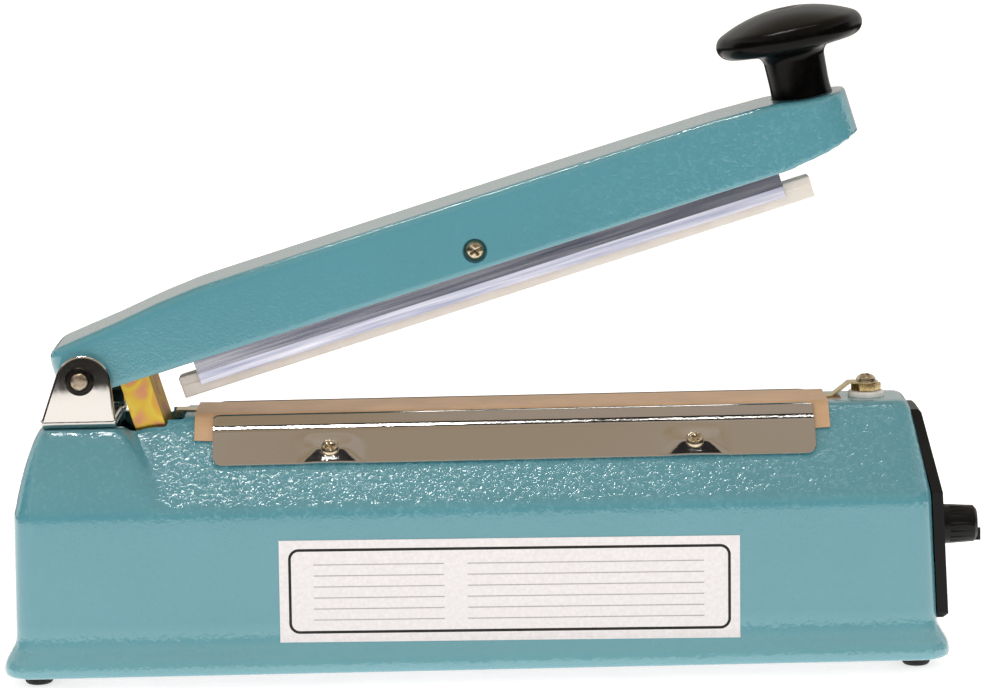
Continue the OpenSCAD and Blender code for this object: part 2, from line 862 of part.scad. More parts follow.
// Fluted knob with a hollow foot over the nut and a pointer nub on its end
module timer_knob() {
  flutes = 18;
  color([0.1, 0.1, 0.1]) difference() {
    union() {
      on_timer(dial_x) cylinder(r1 = dial_r, r2 = dial_r - 0.6, h = dial_l - 1);
      on_timer(dial_x + dial_l - 1) cylinder(r1 = dial_r - 0.6, r2 = dial_r - 1.8, h = 1);
      translate([dial_x + dial_l - 1, -0.7, timer_z - dial_r + 1]) cube([1 + dial_nub, 1.4, 4]);
    }
    for (i = [0 : flutes - 1]) on_timer(dial_x + 2.5)
      rotate(i * 360 / flutes) translate([dial_r + 0.1, 0, 0]) cylinder(r = 0.7, h = dial_l);
    on_timer(dial_x - cut) cylinder(r = hex_r + 0.5, h = cut + 2.2);
    on_timer(dial_x - cut) cylinder(r = shaft_d / 2 + seat, h = cut + dial_bore_l);
  }
}

module signal_lamp() {
  dome_r = (pow(lamp_r + lamp_rim, 2) / lamp_rise + lamp_rise) / 2 + 1.5;
  color("firebrick") on_lamp() {
    translate([0, 0, -8]) cylinder(r = lamp_r, h = 8 + panel_t + 0.2);
    translate([0, 0, panel_t + 0.2]) rotate_extrude() intersection() {
      translate([0, lamp_rise - dome_r]) circle(dome_r, $fn = 192);
      square([lamp_r + lamp_rim, 3]);
    }
  }
}

module at_board_posts() {
  side = board_w / 2 - post_in;
  for (x = [board_x0 + post_in, board_x0 + board_l - post_in], y = [-side, side])
    translate([x, y, plate_z]) children();
}

module circuit_board() {
  color("darkolivegreen") difference() {
    translate([board_x0, -board_w / 2, plate_z + board_up]) cube([board_l, board_w, board_t]);
    at_board_posts() cylinder(r = board_hole, h = board_up + board_t + cut);
  }
}

module board_posts() {
  color("lightgray") at_board_posts() {
    cylinder(r = board_post_r, h = board_up);
    cylinder(r = board_hole - 2 * seat, h = board_up + board_t);
    translate([0, 0, board_up + board_t]) cylinder(r = board_head_r, h = board_head_t);
  }
}

// Relay, capacitor, wire block and power transistor on the timer board
module board_components() {
  z = plate_z + board_up + board_t;
  color("darkslateblue") {
    translate([board_x0 + relay_at[0], relay_at[1], z]) cube(relay);
    translate([board_x0 + can_at[0], can_at[1], z]) cylinder(r = can_r, h = can_h);
    translate([board_x0 + block_at[0], block_at[1], z]) cube(block);
    translate([board_x0 + power_at[0], power_at[1], z]) cube(power);
  }
}

// Stacked core with two windows round its middle limb
module transformer_core() {
  limb = core_w / 6;
  color("slategray") translate([seal_x, 0, plate_z + seat]) difference() {
    translate([-core_w / 2, -core_t / 2, 0]) cube([core_w, core_t, core_h]);
    for (side = [0, 1]) mirror([side, 0, 0])
      translate([limb, -core_t, limb]) cube([limb, 2 * core_t, core_h - 2 * limb]);
  }
}

module transformer_coil() {
  limb = core_w / 6;
  gap = 0.3;
  thick = limb - 2 * gap;
  color("orangered") translate([seal_x, 0, plate_z + seat + limb + gap]) difference() {
    round_plate(
      -limb - gap - thick, limb + gap + thick, core_t / 2 + gap + thick, thick, core_h - 2 * (limb + gap)
    );
    translate([-limb - gap, -core_t / 2 - gap, -cut]) cube([2 * (limb + gap), core_t + 2 * gap, core_h]);
  }
}

// Steel strap over the core with a screwed foot at each side
module transformer_strap() {
  t = 1.2;
  half = core_w / 2 + seat;
  high = core_h + 2 * seat;
  foot = 11;
  color("silver") translate([seal_x, 0, plate_z]) difference() {
    along_y(core_t - 7) polygon([
      [-half, 0], [-half, high], [half, high], [half, 0], [half + t + foot, 0], [half + t + foot, t],
      [half + t, t], [half + t, high + t], [-half - t, high + t], [-half - t, t], [-half - t - foot, t],
      [-half - t - foot, 0]
    ]);
    for (x = [-half - 6.5, half + 6.5]) translate([x, 0, -cut]) cylinder(r = 1.6, h = 5);
  }
}

module transformer_screws() {
  half = core_w / 2 + seat;
  color("gainsboro") translate([seal_x, 0, plate_z])
    for (x = [-half - 6.5, half + 6.5]) translate([x, 0, 0]) {
      translate([0, 0, seat]) cylinder(r = 1.5, h = 1.2);
      translate([0, 0, 1.2 + seat]) cylinder(r = 3, h = 2);
    }
}

module at_switch_screws() {
  for (z = [switch_z + 2, switch_z + 13])
    translate([switch_x - switch_gap - switch_w / 2, 0, z]) children();
}

// Snap switch with a plunger and the two cheeks that hold its lever's pin
module micro_switch() {
  side = switch_t / 2;
  cheek = side - lever_w / 2 - free;
  color([0.15, 0.15, 0.17]) {
    difference() {
      translate([switch_x - switch_gap - switch_w, -side, switch_z - 4]) cube([switch_w, switch_t, switch_l]);
      at_switch_screws() cross_bar(1.2, -switch_t, switch_t);
    }
    translate([switch_x - switch_gap - 0.1, -1, switch_z + 6]) cube([1.4, 2, 2]);
    for (y = [-side, side - cheek]) translate([switch_x - switch_gap - 0.1, y, switch_z - 1.6])
      cube([switch_gap + 1.7, cheek, 3.2]);
    translate([switch_x, 0, switch_z]) cross_bar(lever_pin, -side + 0.1, side - 0.1);
  }
}

module switch_lever() {
  color("silver") translate([switch_x, 0, switch_z]) difference() {
    union() {
      cross_bar(lever_hub, -lever_w / 2, lever_w / 2);
      rotate([0, lever_a, 0]) translate([-lever_t / 2, -lever_w / 2, 0]) cube([lever_t, lever_w, lever_l]);
    }
    cross_bar(lever_pin + run, -lever_w, lever_w);
  }
}

// Bent plate that carries the switch on the bottom plate
module switch_bracket() {
  t = 1.5;
  x0 = switch_x - switch_gap - switch_w - 1;
  y1 = -switch_t / 2 - seat;
  color("silver") difference() {
    union() {
      translate([x0, y1 - t, plate_z]) cube([switch_w + 2, t, switch_z + switch_l - 4 - plate_z]);
      translate([x0, y1 - t, plate_z]) cube([switch_w + 2, 14, t]);
    }
    at_switch_screws() cross_bar(1.2, -switch_t, switch_t);
  }
}

module switch_screws() {
  side = switch_t / 2;
  color("gainsboro") at_switch_screws() {
    cross_bar(1.1, -side - 2.4, side + seat);
    cross_bar(2.1, side + seat, side + 1.4);
  }
}

module spring_anchor() {
  color("silver") translate([spring_x1 + anchor_r, 0, spring_z]) {
    cross_bar(anchor_pin_r, -anchor_r - 2, anchor_r + 2);
    cross_bar(2.6, anchor_r + 0.2, anchor_r + 1.6);
  }
}

// The return spring: straight tails at both ends and a coil of spring_n turns between them
tail = 6;
coil_l = spring_x1 - spring_x0 - 2 * tail - 2 * free;
turn_n = 8;
spring_steps = spring_n * turn_n;
function coil_point(i) =
  let (
    t = i / spring_steps,
    r = spring_d / 2 * min(1, min(t, 1 - t) * spring_n),
    a = 360 * i / turn_n
  ) [spring_x0 + free + tail + coil_l * t, r * cos(a), spring_z + r * sin(a)];
spring_path = concat(
  [[spring_x0 + free, 0, spring_z], [spring_x0 + free + tail / 2, 0, spring_z]],
  [for (i = [0 : spring_steps]) coil_point(i)],
  [[spring_x1 - free - tail / 2, 0, spring_z], [spring_x1 - free, 0, spring_z]]
);
function unit(v) = v / norm(v);
function path_way(p, i) = unit(p[min(i + 1, len(p) - 1)] - p[max(i - 1, 0)]);
function tube_ring(p, i, r, sides) =
  let (
    way = path_way(p, i),
    side = unit(cross(way, [0, 0, 1])),
    up = cross(side, way)
  ) [for (k = [0 : sides - 1]) p[i] + r * (cos(360 * k / sides) * side + sin(360 * k / sides) * up)];

module return_spring() {
  color("silver") loft([for (i = [0 : len(spring_path) - 1]) tube_ring(spring_path, i, wire_d / 2, 6)]);
}

spring_gap = min([
  for (i = [turn_n : spring_steps - 2 * turn_n], k = [turn_n - 2 : turn_n + 2])
    norm(coil_point(i) - coil_point(i + k))
]) - wire_d;
echo(spring_gap = spring_gap);

// Rubber bush of the cord's inlet, gripping the rear wall between two flanges
module cord_grommet() {
  face_y = wall_y - side_lean * (inlet_z - flare_h - foot_h) / (crease_z - flare_h - foot_h);
  out = face_y + 0.25;
  in = face_y - wall - 0.25;
  r = inlet_d / 2;
  color([0.1, 0.1, 0.1]) translate([inlet_x, 0, inlet_z]) difference() {
    union() {
      cross_bar(r + inlet_wall, in - inlet_flange, out + inlet_flange);
      cross_bar(r + inlet_wall + 1.6, out, out + inlet_flange);
      cross_bar(r + inlet_wall + 1.6, in - inlet_flange, in);
    }
    cross_bar(r, 0, body_w);
  }
}

// The arm's side view: heights of its top and of its lower edge along its length
arm_top = [
  [-arm_tail, arm_h - 8], [1 - arm_tail, arm_h - 6.6], [3 - arm_tail, arm_h - 5.6], [2, arm_h - 4.6],
  [16, arm_h - 3], [31, arm_h - 1.1],
  [45, arm_h], [arm_l * 0.6, arm_h + 0.3], [arm_l - 44, arm_h], [arm_l - 24, arm_h - 0.9],
  [arm_l - 14, arm_h - 3], [arm_l, arm_h - 4.2]
];
arm_low = [
  [-arm_tail, -2], [3 - arm_tail, -arm_skirt], [6, -arm_skirt], [arm_l - 26, -arm_skirt],
  [arm_l - 20, 0.8 - arm_skirt], [arm_l - 13, 1.6 - arm_skirt], [arm_l - 6, 3 - arm_skirt],
  [arm_l, 4.4 - arm_skirt]
];
arm_stations = [
  -arm_tail, 1 - arm_tail, 3 - arm_tail, -2, 6, 16, 31, 40, 45, 50, 100, arm_l * 0.6,
  arm_l - 44, arm_l - 32, arm_l - 24, arm_l - 18, arm_l - 14, arm_l - 10, arm_l - 6, arm_l - 3,
  arm_l - 1, arm_l
];

// Half width at s: full along the arm, round at the nose and a little at the tail
function arm_half(s) =
  let (n = max(0, s - arm_l + nose_r), t = max(0, tail_round - s - arm_tail))
    arm_w / 2 - nose_r * (1 - sqrt(max(0, 1 - n * n / nose_r / nose_r / 1.02))) - t * t / tail_round;

function arm_ring(s, d) =
  let (
    w = arm_half(s) - d,
    top = lookup(s, arm_top) - d,
    low = lookup(s, arm_low) - (d > 0 ? 8 : 0),
    r = min(max(arm_edge - d, 0.5), w - 0.2)
  ) concat(
    [[s, w, low]],
    [for (c = [0, 1], i = [0 : 4])
      let (a = 90 * c + 90 * i / 4, y = c == 0 ? w - r : r - w) [s, y + r * cos(a), top - r + r * sin(a)]],
    [[s, -w, low]]
  );

module arm() {
  inside = concat([-5], [for (s = arm_stations) if (s > -5 && s < arm_l - 4) s], [arm_l - 4]);
  lug_top = lookup(leg_rivet_s, arm_top) - arm_wall / 2;
  half = arm_w / 2;
  color("cadetblue") on_arm() difference() {
    union() {
      difference() {
        loft([for (s = arm_stations) arm_ring(s, 0)]);
        loft([for (s = inside) arm_ring(s, arm_wall)]);
      }
      cross_bar(hub_r, -hub_y, hub_y);
      translate([leg_s0 + 0.4, leg_t + 0.1 - leg_y, -lug_h])
        cube([leg_s1 - leg_s0 - leg_t - 0.5, 2 * (leg_y - leg_t - 0.1), lug_h + lug_top]);
      for (side = [0, 1]) mirror([0, side, 0]) translate([screw_s, 0, screw_h])
        cross_bar(screw_boss_r, screw_boss_y, half - 0.3);
      at_knob() translate([0, 0, knob_boss - knob_seat])
        cylinder(r = screw_boss_r, h = knob_seat - 1 - knob_boss);
    }
    cross_bar(pin_d / 2 + run, -half - 5, half + 5);
    translate([leg_rivet_s, 0, leg_rivet_h]) cross_bar(leg_rivet_r + seat, -leg_y, leg_y);
    translate([screw_s, 0, screw_h]) {
      cross_bar(screw_r + seat, -half - cut, half + cut);
      for (side = [0, 1]) mirror([0, side, 0]) cross_bar(screw_head_r + 0.6, half - screw_recess, half + cut);
    }
    at_knob() {
      translate([0, 0, -knob_seat]) cylinder(r = screw_r + seat, h = arm_h + 10);
      cylinder(r = stem_r + 0.6, h = 10);
    }
  }
}

// Mushroom knob turned on its axis: waisted stem, full round cap with a dimple
module press_knob() {
  rim_r = 4.1;
  rim_x = knob_r - rim_r;
  rim_z = knob_h - 8.9;
  crown = knob_h - rim_z - rim_r;
  belly = rim_z - rim_r - knob_neck;
  top_r = (rim_x * rim_x + crown * crown) / (2 * crown);
  low_r = (rim_x * rim_x + belly * belly) / (2 * belly);
  fillet_z = knob_neck - 2.7;
  color([0.1, 0.1, 0.1]) on_arm() at_knob() translate([0, 0, seat]) rotate_extrude() difference() {
    union() {
      intersection() {
        translate([0, knob_h - top_r]) circle(top_r, $fn = 128);
        translate([0, knob_neck + low_r]) circle(low_r, $fn = 256);
        square([rim_x, knob_h]);
      }
      translate([rim_x, rim_z]) circle(rim_r);
      square([stem_r - 0.4, knob_neck + 2]);
      square([stem_r, 2]);
      difference() {
        translate([0, fillet_z]) square([stem_r + neck_r - 0.4, neck_r + 0.1]);
        translate([stem_r + neck_r - 0.4, fillet_z]) circle(neck_r);
      }
    }
    translate([0, knob_h + 11.2]) circle(12);
    translate([-2 * knob_r, -knob_h]) square([2 * knob_r, 3 * knob_h]);
    square([screw_r + seat, knob_neck]);
  }
}

module knob_screw() {
  start = knob_boss - seat - screw_head_t - knob_seat;
  color("gainsboro") on_arm() at_knob() translate([0, 0, start]) {
    cylinder(r = screw_r, h = knob_neck - 1 - start);
    cylinder(r = screw_head_r, h = screw_head_t);
  }
}

module cross_screw() {
  half = arm_w / 2;
  head = half - screw_recess;
  color("gainsboro") on_arm() translate([screw_s, 0, screw_h]) {
    cross_bar(screw_r, -head, half);
    translate([0, -head, 0]) rotate([90, 0, 0]) rotate_extrude() intersection() {
      translate([0, screw_head_t - 5]) circle(5);
      square([screw_head_r, screw_head_t]);
    }
  }
}

module cross_nut() {
  half = arm_w / 2;
  color("silver") on_arm() translate([screw_s, half, screw_h]) rotate([90, 0, 0]) difference() {
    cylinder(r = screw_head_r + 0.4, h = screw_recess - seat, $fn = 6);
    translate([0, 0, -cut]) cylinder(r = screw_r + seat, h = screw_recess + 2 * cut);
  }
}

module bar_spacers() {
  color("silver") on_arm() translate([screw_s, 0, screw_h])
    for (side = [0, 1]) mirror([0, side, 0]) difference() {
      cross_bar(3.6, fin_t / 2 + free, screw_boss_y - seat);
      cross_bar(screw_r + seat, 0, screw_boss_y + cut);
    }
}

// Bent channel that dips through the roof, with a stop tab and a hole for the spring
module trip_leg() {
  color("goldenrod") on_arm() {
    difference() {
      along_y(2 * leg_y) polygon([
        [leg_s0, leg_top], [leg_s1, leg_top], [leg_s1, -leg_end], [leg_s1 - 5.4, -leg_end],
        [leg_s0 + 1.6, -leg_end + 8], [leg_s0 + 0.3, -leg_end + 16], [leg_s0, -20]
      ]);
      translate([leg_s0 - cut, leg_t - leg_y, -leg_end - cut])
        cube([leg_s1 - leg_s0 - leg_t + cut, 2 * (leg_y - leg_t), leg_end + leg_top + 2 * cut]);
      translate([leg_rivet_s, 0, leg_rivet_h]) cross_bar(leg_rivet_r + seat, -leg_y - cut, leg_y + cut);
      translate([leg_s0, 0, -hook_h]) rotate([0, 90, 0]) cylinder(r = hook_r, h = 20);
    }
    translate([leg_s1 - 0.2, -tab_y, -tab_h - leg_t]) cube([tab_l + 0.2, 2 * tab_y, leg_t]);
  }
}

module leg_rivet() {
  color("silver") on_arm() translate([leg_rivet_s, 0, leg_rivet_h]) {
    cross_bar(leg_rivet_r, -leg_y - 1, leg_y + 1);
    for (side = [0, 1]) mirror([0, side, 0]) cross_bar(leg_rivet_r + 1.2, leg_y + seat, leg_y + 1.2);
  }
}

// Extruded bar: a fin hung on the cross screw, a flange and a grooved jaw
module pressing_bar() {
  f = fin_t / 2;
  w = flange_w / 2;
  j = bar_w / 2;
  d = j - jaw_draft;
  g = groove_w / 2;
  m = mouth_w / 2;
  color("lightsteelblue") on_arm() difference() {
    translate([screw_s + bar_off - bar_l / 2, 0, 0]) along_x(bar_l) polygon([
      [f, fin_h], [-f, fin_h], [-f, -bar_top], [-w, -bar_top], [-w, -bar_mid], [-j, -bar_mid], [-d, -bar_end],
      [-m, -bar_end], [-m, lips - bar_end], [-g, lips - bar_end], [-g, -groove_top], [g, -groove_top],
      [g, lips - bar_end], [m, lips - bar_end], [m, -bar_end], [d, -bar_end], [j, -bar_mid], [w, -bar_mid],
      [w, -bar_top], [f, -bar_top]
    ]);
    translate([screw_s, 0, screw_h]) cross_bar(screw_r + run, -bar_w, bar_w);
  }
}

module silicone_strip() {
  g = groove_w / 2 - strip_fit;
  m = mouth_w / 2 - strip_fit;
  top = lips - bar_end + strip_fit;
  l = bar_l + 2 * strip_over;
  color("ghostwhite") on_arm() translate([screw_s + strip_off - l / 2, 0, 0]) along_x(l) polygon([
    [g, -groove_top - strip_fit], [-g, -groove_top - strip_fit], [-g, top], [-m, top],
    [-m, -strip_end], [m, -strip_end], [m, top], [g, top]
  ]);
}

housing();
bottom_plate();
rubber_feet();
foot_screws();
hinge_bracket();
bracket_rivets();
pivot_pin();
pivot_washers();
element_bed();
heating_element();
release_cloth();
cloth_clamp_front();
cloth_clamp_rear();
clamp_screws();
terminal_bush();
terminal_nut();
terminal_screw();
control_panel();
panel_screws();
timer_control();
timer_nut();
signal_lamp();
circuit_board();
board_posts();
board_components();
transformer_core();
transformer_coil();
transformer_strap();
transformer_screws();
micro_switch();
switch_bracket();
switch_screws();
switch_lever();
spring_anchor();
return_spring();
cord_grommet();
arm();
press_knob();
knob_screw();
cross_screw();
cross_nut();
bar_spacers();
trip_leg();
leg_rivet();
pressing_bar();
silicone_strip();
timer_shaft();
timer_knob();
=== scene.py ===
"""Dresses a hand impulse sealer: hammered castings, chromed plates, release cloth, arm, knob and studio."""

import math

import bpy
from bpy.props import FloatProperty, FloatVectorProperty, IntProperty, PointerProperty
from mathutils import Matrix, Vector


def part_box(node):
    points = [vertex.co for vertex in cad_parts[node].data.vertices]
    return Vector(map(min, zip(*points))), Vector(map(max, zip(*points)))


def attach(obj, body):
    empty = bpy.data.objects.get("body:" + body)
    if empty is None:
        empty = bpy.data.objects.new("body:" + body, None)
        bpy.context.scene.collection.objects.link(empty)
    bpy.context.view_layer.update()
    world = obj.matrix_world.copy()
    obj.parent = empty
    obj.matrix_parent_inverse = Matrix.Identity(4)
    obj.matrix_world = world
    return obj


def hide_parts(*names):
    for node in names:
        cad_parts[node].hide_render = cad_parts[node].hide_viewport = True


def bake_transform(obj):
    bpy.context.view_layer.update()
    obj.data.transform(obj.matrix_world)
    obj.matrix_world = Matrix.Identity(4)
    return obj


bl_info = {
    "name": "Hand Impulse Sealer",
    "version": (1, 0, 0),
    "blender": (4, 5, 0),
    "location": "View3D > Sidebar > Sealer",
    "description": "Models the finished surfaces of a bench bag sealer on its measured frame",
    "category": "Object",
}

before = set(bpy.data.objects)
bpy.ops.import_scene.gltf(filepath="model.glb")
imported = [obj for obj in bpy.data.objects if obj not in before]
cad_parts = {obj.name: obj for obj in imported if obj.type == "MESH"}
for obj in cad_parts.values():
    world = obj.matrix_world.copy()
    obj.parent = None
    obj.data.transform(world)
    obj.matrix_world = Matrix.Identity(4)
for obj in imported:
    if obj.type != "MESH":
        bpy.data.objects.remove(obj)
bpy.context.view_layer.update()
MM = 0.001
OPEN = math.radians(16.7)


# Colours and nodes

def srgb(text):
    """Linear colour of an sRGB hex value."""
    parts = [int(text[i:i + 2], 16) / 255 for i in (0, 2, 4)]
    return tuple(p / 12.92 if p <= 0.04045 else ((p + 0.055) / 1.055) ** 2.4 for p in parts) + (1.0,)


def give(socket, value):
    """Sets a socket to a value, or links it to the socket or the node's first output that feeds it."""
    if isinstance(value, bpy.types.Node):
        value = value.outputs[0]
    if isinstance(value, bpy.types.NodeSocket):
        socket.id_data.links.new(value, socket)
    else:
        socket.default_value = value


def put(tree, kind, inputs=None, **settings):
    """Adds a shader node with its settings, its inputs and the stops of its ramp, in hex or linear colour."""
    node = tree.nodes.new("ShaderNode" + kind)
    for index, (place, colour) in enumerate(settings.pop("stops", ())):
        element = node.color_ramp.elements[index] if index < 2 else node.color_ramp.elements.new(place)
        element.position = place
        element.color = srgb(colour) if isinstance(colour, str) else colour
    for key, value in settings.items():
        setattr(node, key, value)
    for key, value in (inputs or {}).items():
        give(node.inputs[key], value)
    return node


def feed(shader, **inputs):
    """Sets or links a shader's inputs."""
    for key, value in inputs.items():
        give(shader.inputs[key.replace("_", " ")], value)


def start_material(name, **inputs):
    """A new surface: its tree, its shader with constant values set, and its object coordinates in mm."""
    material = bpy.data.materials.new(name)
    material.use_nodes = True
    tree = material.node_tree
    shader = tree.nodes["Principled BSDF"]
    feed(shader, **inputs)
    place = put(tree, "TexCoord").outputs["Object"]
    return tree, shader, put(tree, "Mapping", {"Vector": place, "Scale": (1 / MM,) * 3})


# Surfaces

# Where the enamel is rough: a fade along an axis, from and to in mm, with its value at either end
ENAMEL_FADES = {
    "above_crease": ("Z", 54.0, 62.0, 0.0, 1.0),
    "past_block": ("X", -113.0, -101.0, 0.22, 1.0),
    "calmer_right": ("X", 0.0, 130.0, 1.0, 0.35),
    "below_ridge": ("Z", 88.0, 82.0, 0.0, 1.0),
    # The foot's fade also paints the flare lighter, as a painted reflection
    "foot": ("Z", 22.0, 14.0, 0.0, 0.4),
    "nose": ("X", 0.0, 80.0, 0.0, 0.3),
    "over_base": ("Z", 97.0, 100.0, 0.0, 1.0),
}


def hammered_enamel(name):
    """Stove enamel with a hammered skin: a wet gloss, broken by small lumps, most of all on the roof."""
    enamel = bpy.context.scene.sealer_finish.enamel
    tree, shader, mm = start_material(name, Roughness=0.2, IOR=1.58, Coat_Weight=0.9, Coat_Roughness=0.07)
    axes = put(tree, "SeparateXYZ", {"Vector": mm})
    # Lumps about 1.6 mm across that run into worms and islands, over a fine peel
    lumps = put(tree, "TexNoise", {"Vector": mm, "Scale": 0.62, "Detail": 1.4, "Roughness": 0.45,
                                   "Distortion": 0.8})
    peel = put(tree, "TexNoise", {"Vector": mm, "Scale": 1.3, "Detail": 1.0})
    fade = {}
    for key, (axis, first, last, low, high) in ENAMEL_FADES.items():
        fade[key] = put(tree, "MapRange", {"Value": axes.outputs[axis], "From Min": first, "From Max": last,
                                           "To Min": low, "To Max": high})
    # The roof past the hinge block is roughest, then the flare at the foot and the arm towards its nose
    rough = fade["above_crease"]
    for key in ("past_block", "calmer_right", "below_ridge"):
        rough = put(tree, "Math", {0: rough, 1: fade[key]}, operation="MULTIPLY")
    arm = put(tree, "Math", {0: fade["nose"], 1: fade["over_base"]}, operation="MULTIPLY")
    for part in (fade["foot"], arm):
        rough = put(tree, "Math", {0: rough, 1: part}, operation="MAXIMUM")
    height = put(tree, "MapRange", {"Value": rough, "To Min": 0.05, "To Max": 0.8})
    hammered = put(tree, "Bump", {"Height": lumps, "Strength": height, "Distance": 0.7 * MM})
    skin = put(tree, "Bump", {"Height": peel, "Strength": 0.16, "Distance": 0.25 * MM, "Normal": hammered})
    # Thin film on the tops of the lumps shows a little lighter, and the flare at the foot is painted lighter
    # as a painted reflection
    cloud = put(tree, "TexNoise", {"Vector": mm, "Scale": 0.03, "Detail": 3.0})
    tone = put(tree, "ValToRGB", {"Fac": cloud}, stops=(
        (0.3, tuple(c * 0.95 for c in enamel) + (1.0,)), (0.7, tuple(enamel) + (1.0,))))
    crest = put(tree, "MapRange", {"Value": lumps, "From Min": 0.5, "From Max": 0.8})
    film = put(tree, "Math", {0: crest, 1: height}, operation="MULTIPLY")
    # The foot's share lightens the flare's colour: painted reflection
    film_and_painted_reflection = put(tree, "Math", {0: film, 1: fade["foot"]}, operation="MAXIMUM")
    colour = put(tree, "MixRGB", {"Fac": film_and_painted_reflection, "Color1": tone, "Color2": srgb("86BCC6")})
    feed(shader, Base_Color=colour, Normal=skin, Coat_Normal=skin)


def chromed_steel(name):
    """Bright chrome on pressed sheet: a mirror with a faint roll of the metal under it."""
    tree, shader, mm = start_material(name, Base_Color=srgb("D9D6D2"), Metallic=1.0)
    roll = put(tree, "TexNoise", {"Vector": mm, "Scale": 0.05, "Detail": 1.0})
    wave = put(tree, "Bump", {"Height": roll, "Strength": 0.12, "Distance": 0.5 * MM})
    # Polishing lines about 0.4 mm apart, upright
    lines = put(tree, "Mapping", {"Vector": mm, "Scale": (0.4, 0.4, 16.0)}, vector_type="TEXTURE")
    polish = put(tree, "TexNoise", {"Vector": lines, "Scale": 1.0, "Detail": 2.0})
    brush = put(tree, "Bump", {"Height": polish, "Strength": 0.08, "Distance": 0.1 * MM, "Normal": wave})
    haze = put(tree, "TexNoise", {"Vector": mm, "Scale": 0.4, "Detail": 3.0})
    dull = put(tree, "MapRange", {"Value": haze, "To Min": 0.015, "To Max": 0.06})
    feed(shader, Roughness=dull, Normal=brush)


def drifting(name, scale, detail, stops, bump=None, dull=None, drawn=(1.0,) * 3, turn=(0.0,) * 3, **inputs):
    """A surface whose tone follows one noise in mm, and with it its bump (strength, mm) and its roughness."""
    tree, shader, mm = start_material(name, **inputs)
    run = put(tree, "Mapping", {"Vector": mm, "Rotation": turn, "Scale": drawn}, vector_type="TEXTURE")
    noise = put(tree, "TexNoise", {"Vector": run, "Scale": scale, "Detail": detail})
    feed(shader, Base_Color=put(tree, "ValToRGB", {"Fac": noise}, stops=stops))
    if bump:
        strength, depth = bump
        height = {"Height": noise, "Strength": strength, "Distance": depth * MM}
        feed(shader, Normal=put(tree, "Bump", height))
    if dull:
        low, high = dull
        feed(shader, Roughness=put(tree, "MapRange", {"Value": noise, "To Min": low, "To Max": high}))


def polished_phenolic(name):
    """Black phenolic moulding, buffed: a deep gloss with a little orange peel."""
    drifting(name, 0.5, 2.0, ((0.35, "050404"), (0.75, "0B0A09")), (0.05, 0.3), (0.2, 0.26),
             IOR=1.45, Specular_IOR_Level=0.17)


def grained_plastic(name, dark, light, roughness):
    """Moulded plastic with a fine spark-eroded grain, drawn at 0.5 mm so that it shows."""
    drifting(name, 2.0, 2.0, ((0.35, dark), (0.7, light)), (0.22, 0.15),
             Roughness=roughness, IOR=1.46, Specular_IOR_Level=0.3)


def plated_metal(name, dark, light, roughness, grain_mm, drawn=(1.0,) * 3, turn=(0.0,) * 3, metallic=1.0):
    """Plated or drawn metal: tone and roughness drift over grain of a size, drawn out along an axis."""
    drifting(name, 1 / grain_mm, 4.0, ((0.3, dark), (0.72, light)), (0.12, 0.1),
             (roughness * 0.7, roughness * 1.35), drawn, turn, Metallic=metallic)


def matt_solid(name, dark, light, roughness, grain_mm):
    """Plain matt stuff, such as rubber, board or vinyl, with a slow drift of tone and a fine tooth."""
    drifting(name, 1 / grain_mm, 3.0, ((0.3, dark), (0.7, light)), (0.08, 0.2), Roughness=roughness)


def silicone_rubber(name):
    """Translucent silicone: milky, with light carried a few millimetres inside it."""
    drifting(name, 0.12, 2.0, ((0.3, "F2E9E1"), (0.7, "F9F2EB")), (0.06, 0.5), Roughness=0.38, IOR=1.41,
             Transmission_Weight=0.25, Subsurface_Weight=0.5, Subsurface_Radius=(1.0, 0.95, 0.85),
             Subsurface_Scale=3 * MM)


def red_lens(name):
    """Clear red acrylic: glossy, with light let a little way in."""
    drifting(name, 0.6, 2.0, ((0.3, "9E1414"), (0.7, "C8201C")), Roughness=0.12, IOR=1.49,
             Transmission_Weight=0.35)


def passivated_zinc(name):
    """Yellow passivated zinc: gold with clouds of pink where the film thins."""
    tree, shader, mm = start_material(name, Metallic=0.9)
    cloud = put(tree, "TexNoise", {"Vector": mm, "Scale": 0.1, "Detail": 1.0, "Distortion": 0.4})
    film = put(tree, "ValToRGB", {"Fac": cloud}, stops=(
        (0.36, "F2A084"), (0.45, "F3C24E"), (0.5, "F8DC60"), (0.58, "F5CE54"), (0.66, "F0A084")))
    fine = put(tree, "TexNoise", {"Vector": mm, "Scale": 1.2, "Detail": 3.0})
    dull = put(tree, "MapRange", {"Value": fine, "To Min": 0.25, "To Max": 0.4})
    feed(shader, Base_Color=film, Roughness=dull)


def coated_glass_cloth(name):
    """Glass cloth under a slick resin coat: a plain weave, its threads drawn at 0.8 mm so that they show."""
    fresh = bpy.context.scene.sealer_finish.cloth
    thread = 0.8
    tree, shader, mm = start_material(name, Roughness=0.4, IOR=1.38)
    weave = put(tree, "UVMap", uv_map="UVMap")
    grid = put(tree, "Mapping", {"Vector": weave, "Scale": (1 / thread, 1 / thread, 1.0)})
    warp, weft = (put(tree, "TexWave", {"Vector": grid, "Scale": 0.5, "Distortion": 0.4},
                      bands_direction=way).outputs["Fac"] for way in ("X", "Y"))
    both = put(tree, "Math", {0: warp, 1: weft}, operation="MULTIPLY")
    bump = put(tree, "Bump", {"Height": both, "Strength": 0.25, "Distance": 0.12 * MM})
    stain = put(tree, "TexNoise", {"Vector": mm, "Scale": 0.06, "Detail": 4.0})
    tone = put(tree, "ValToRGB", {"Fac": stain}, stops=(
        (0.3, tuple(c * 0.82 for c in fresh) + (1.0,)), (0.7, tuple(fresh) + (1.0,))))
    sheen = put(tree, "MapRange", {"Value": both, "To Min": 0.0, "To Max": 0.16})
    colour = put(tree, "MixRGB", {"Fac": sheen, "Color1": tone, "Color2": srgb("F2D9BC")})
    feed(shader, Base_Color=colour, Normal=bump)


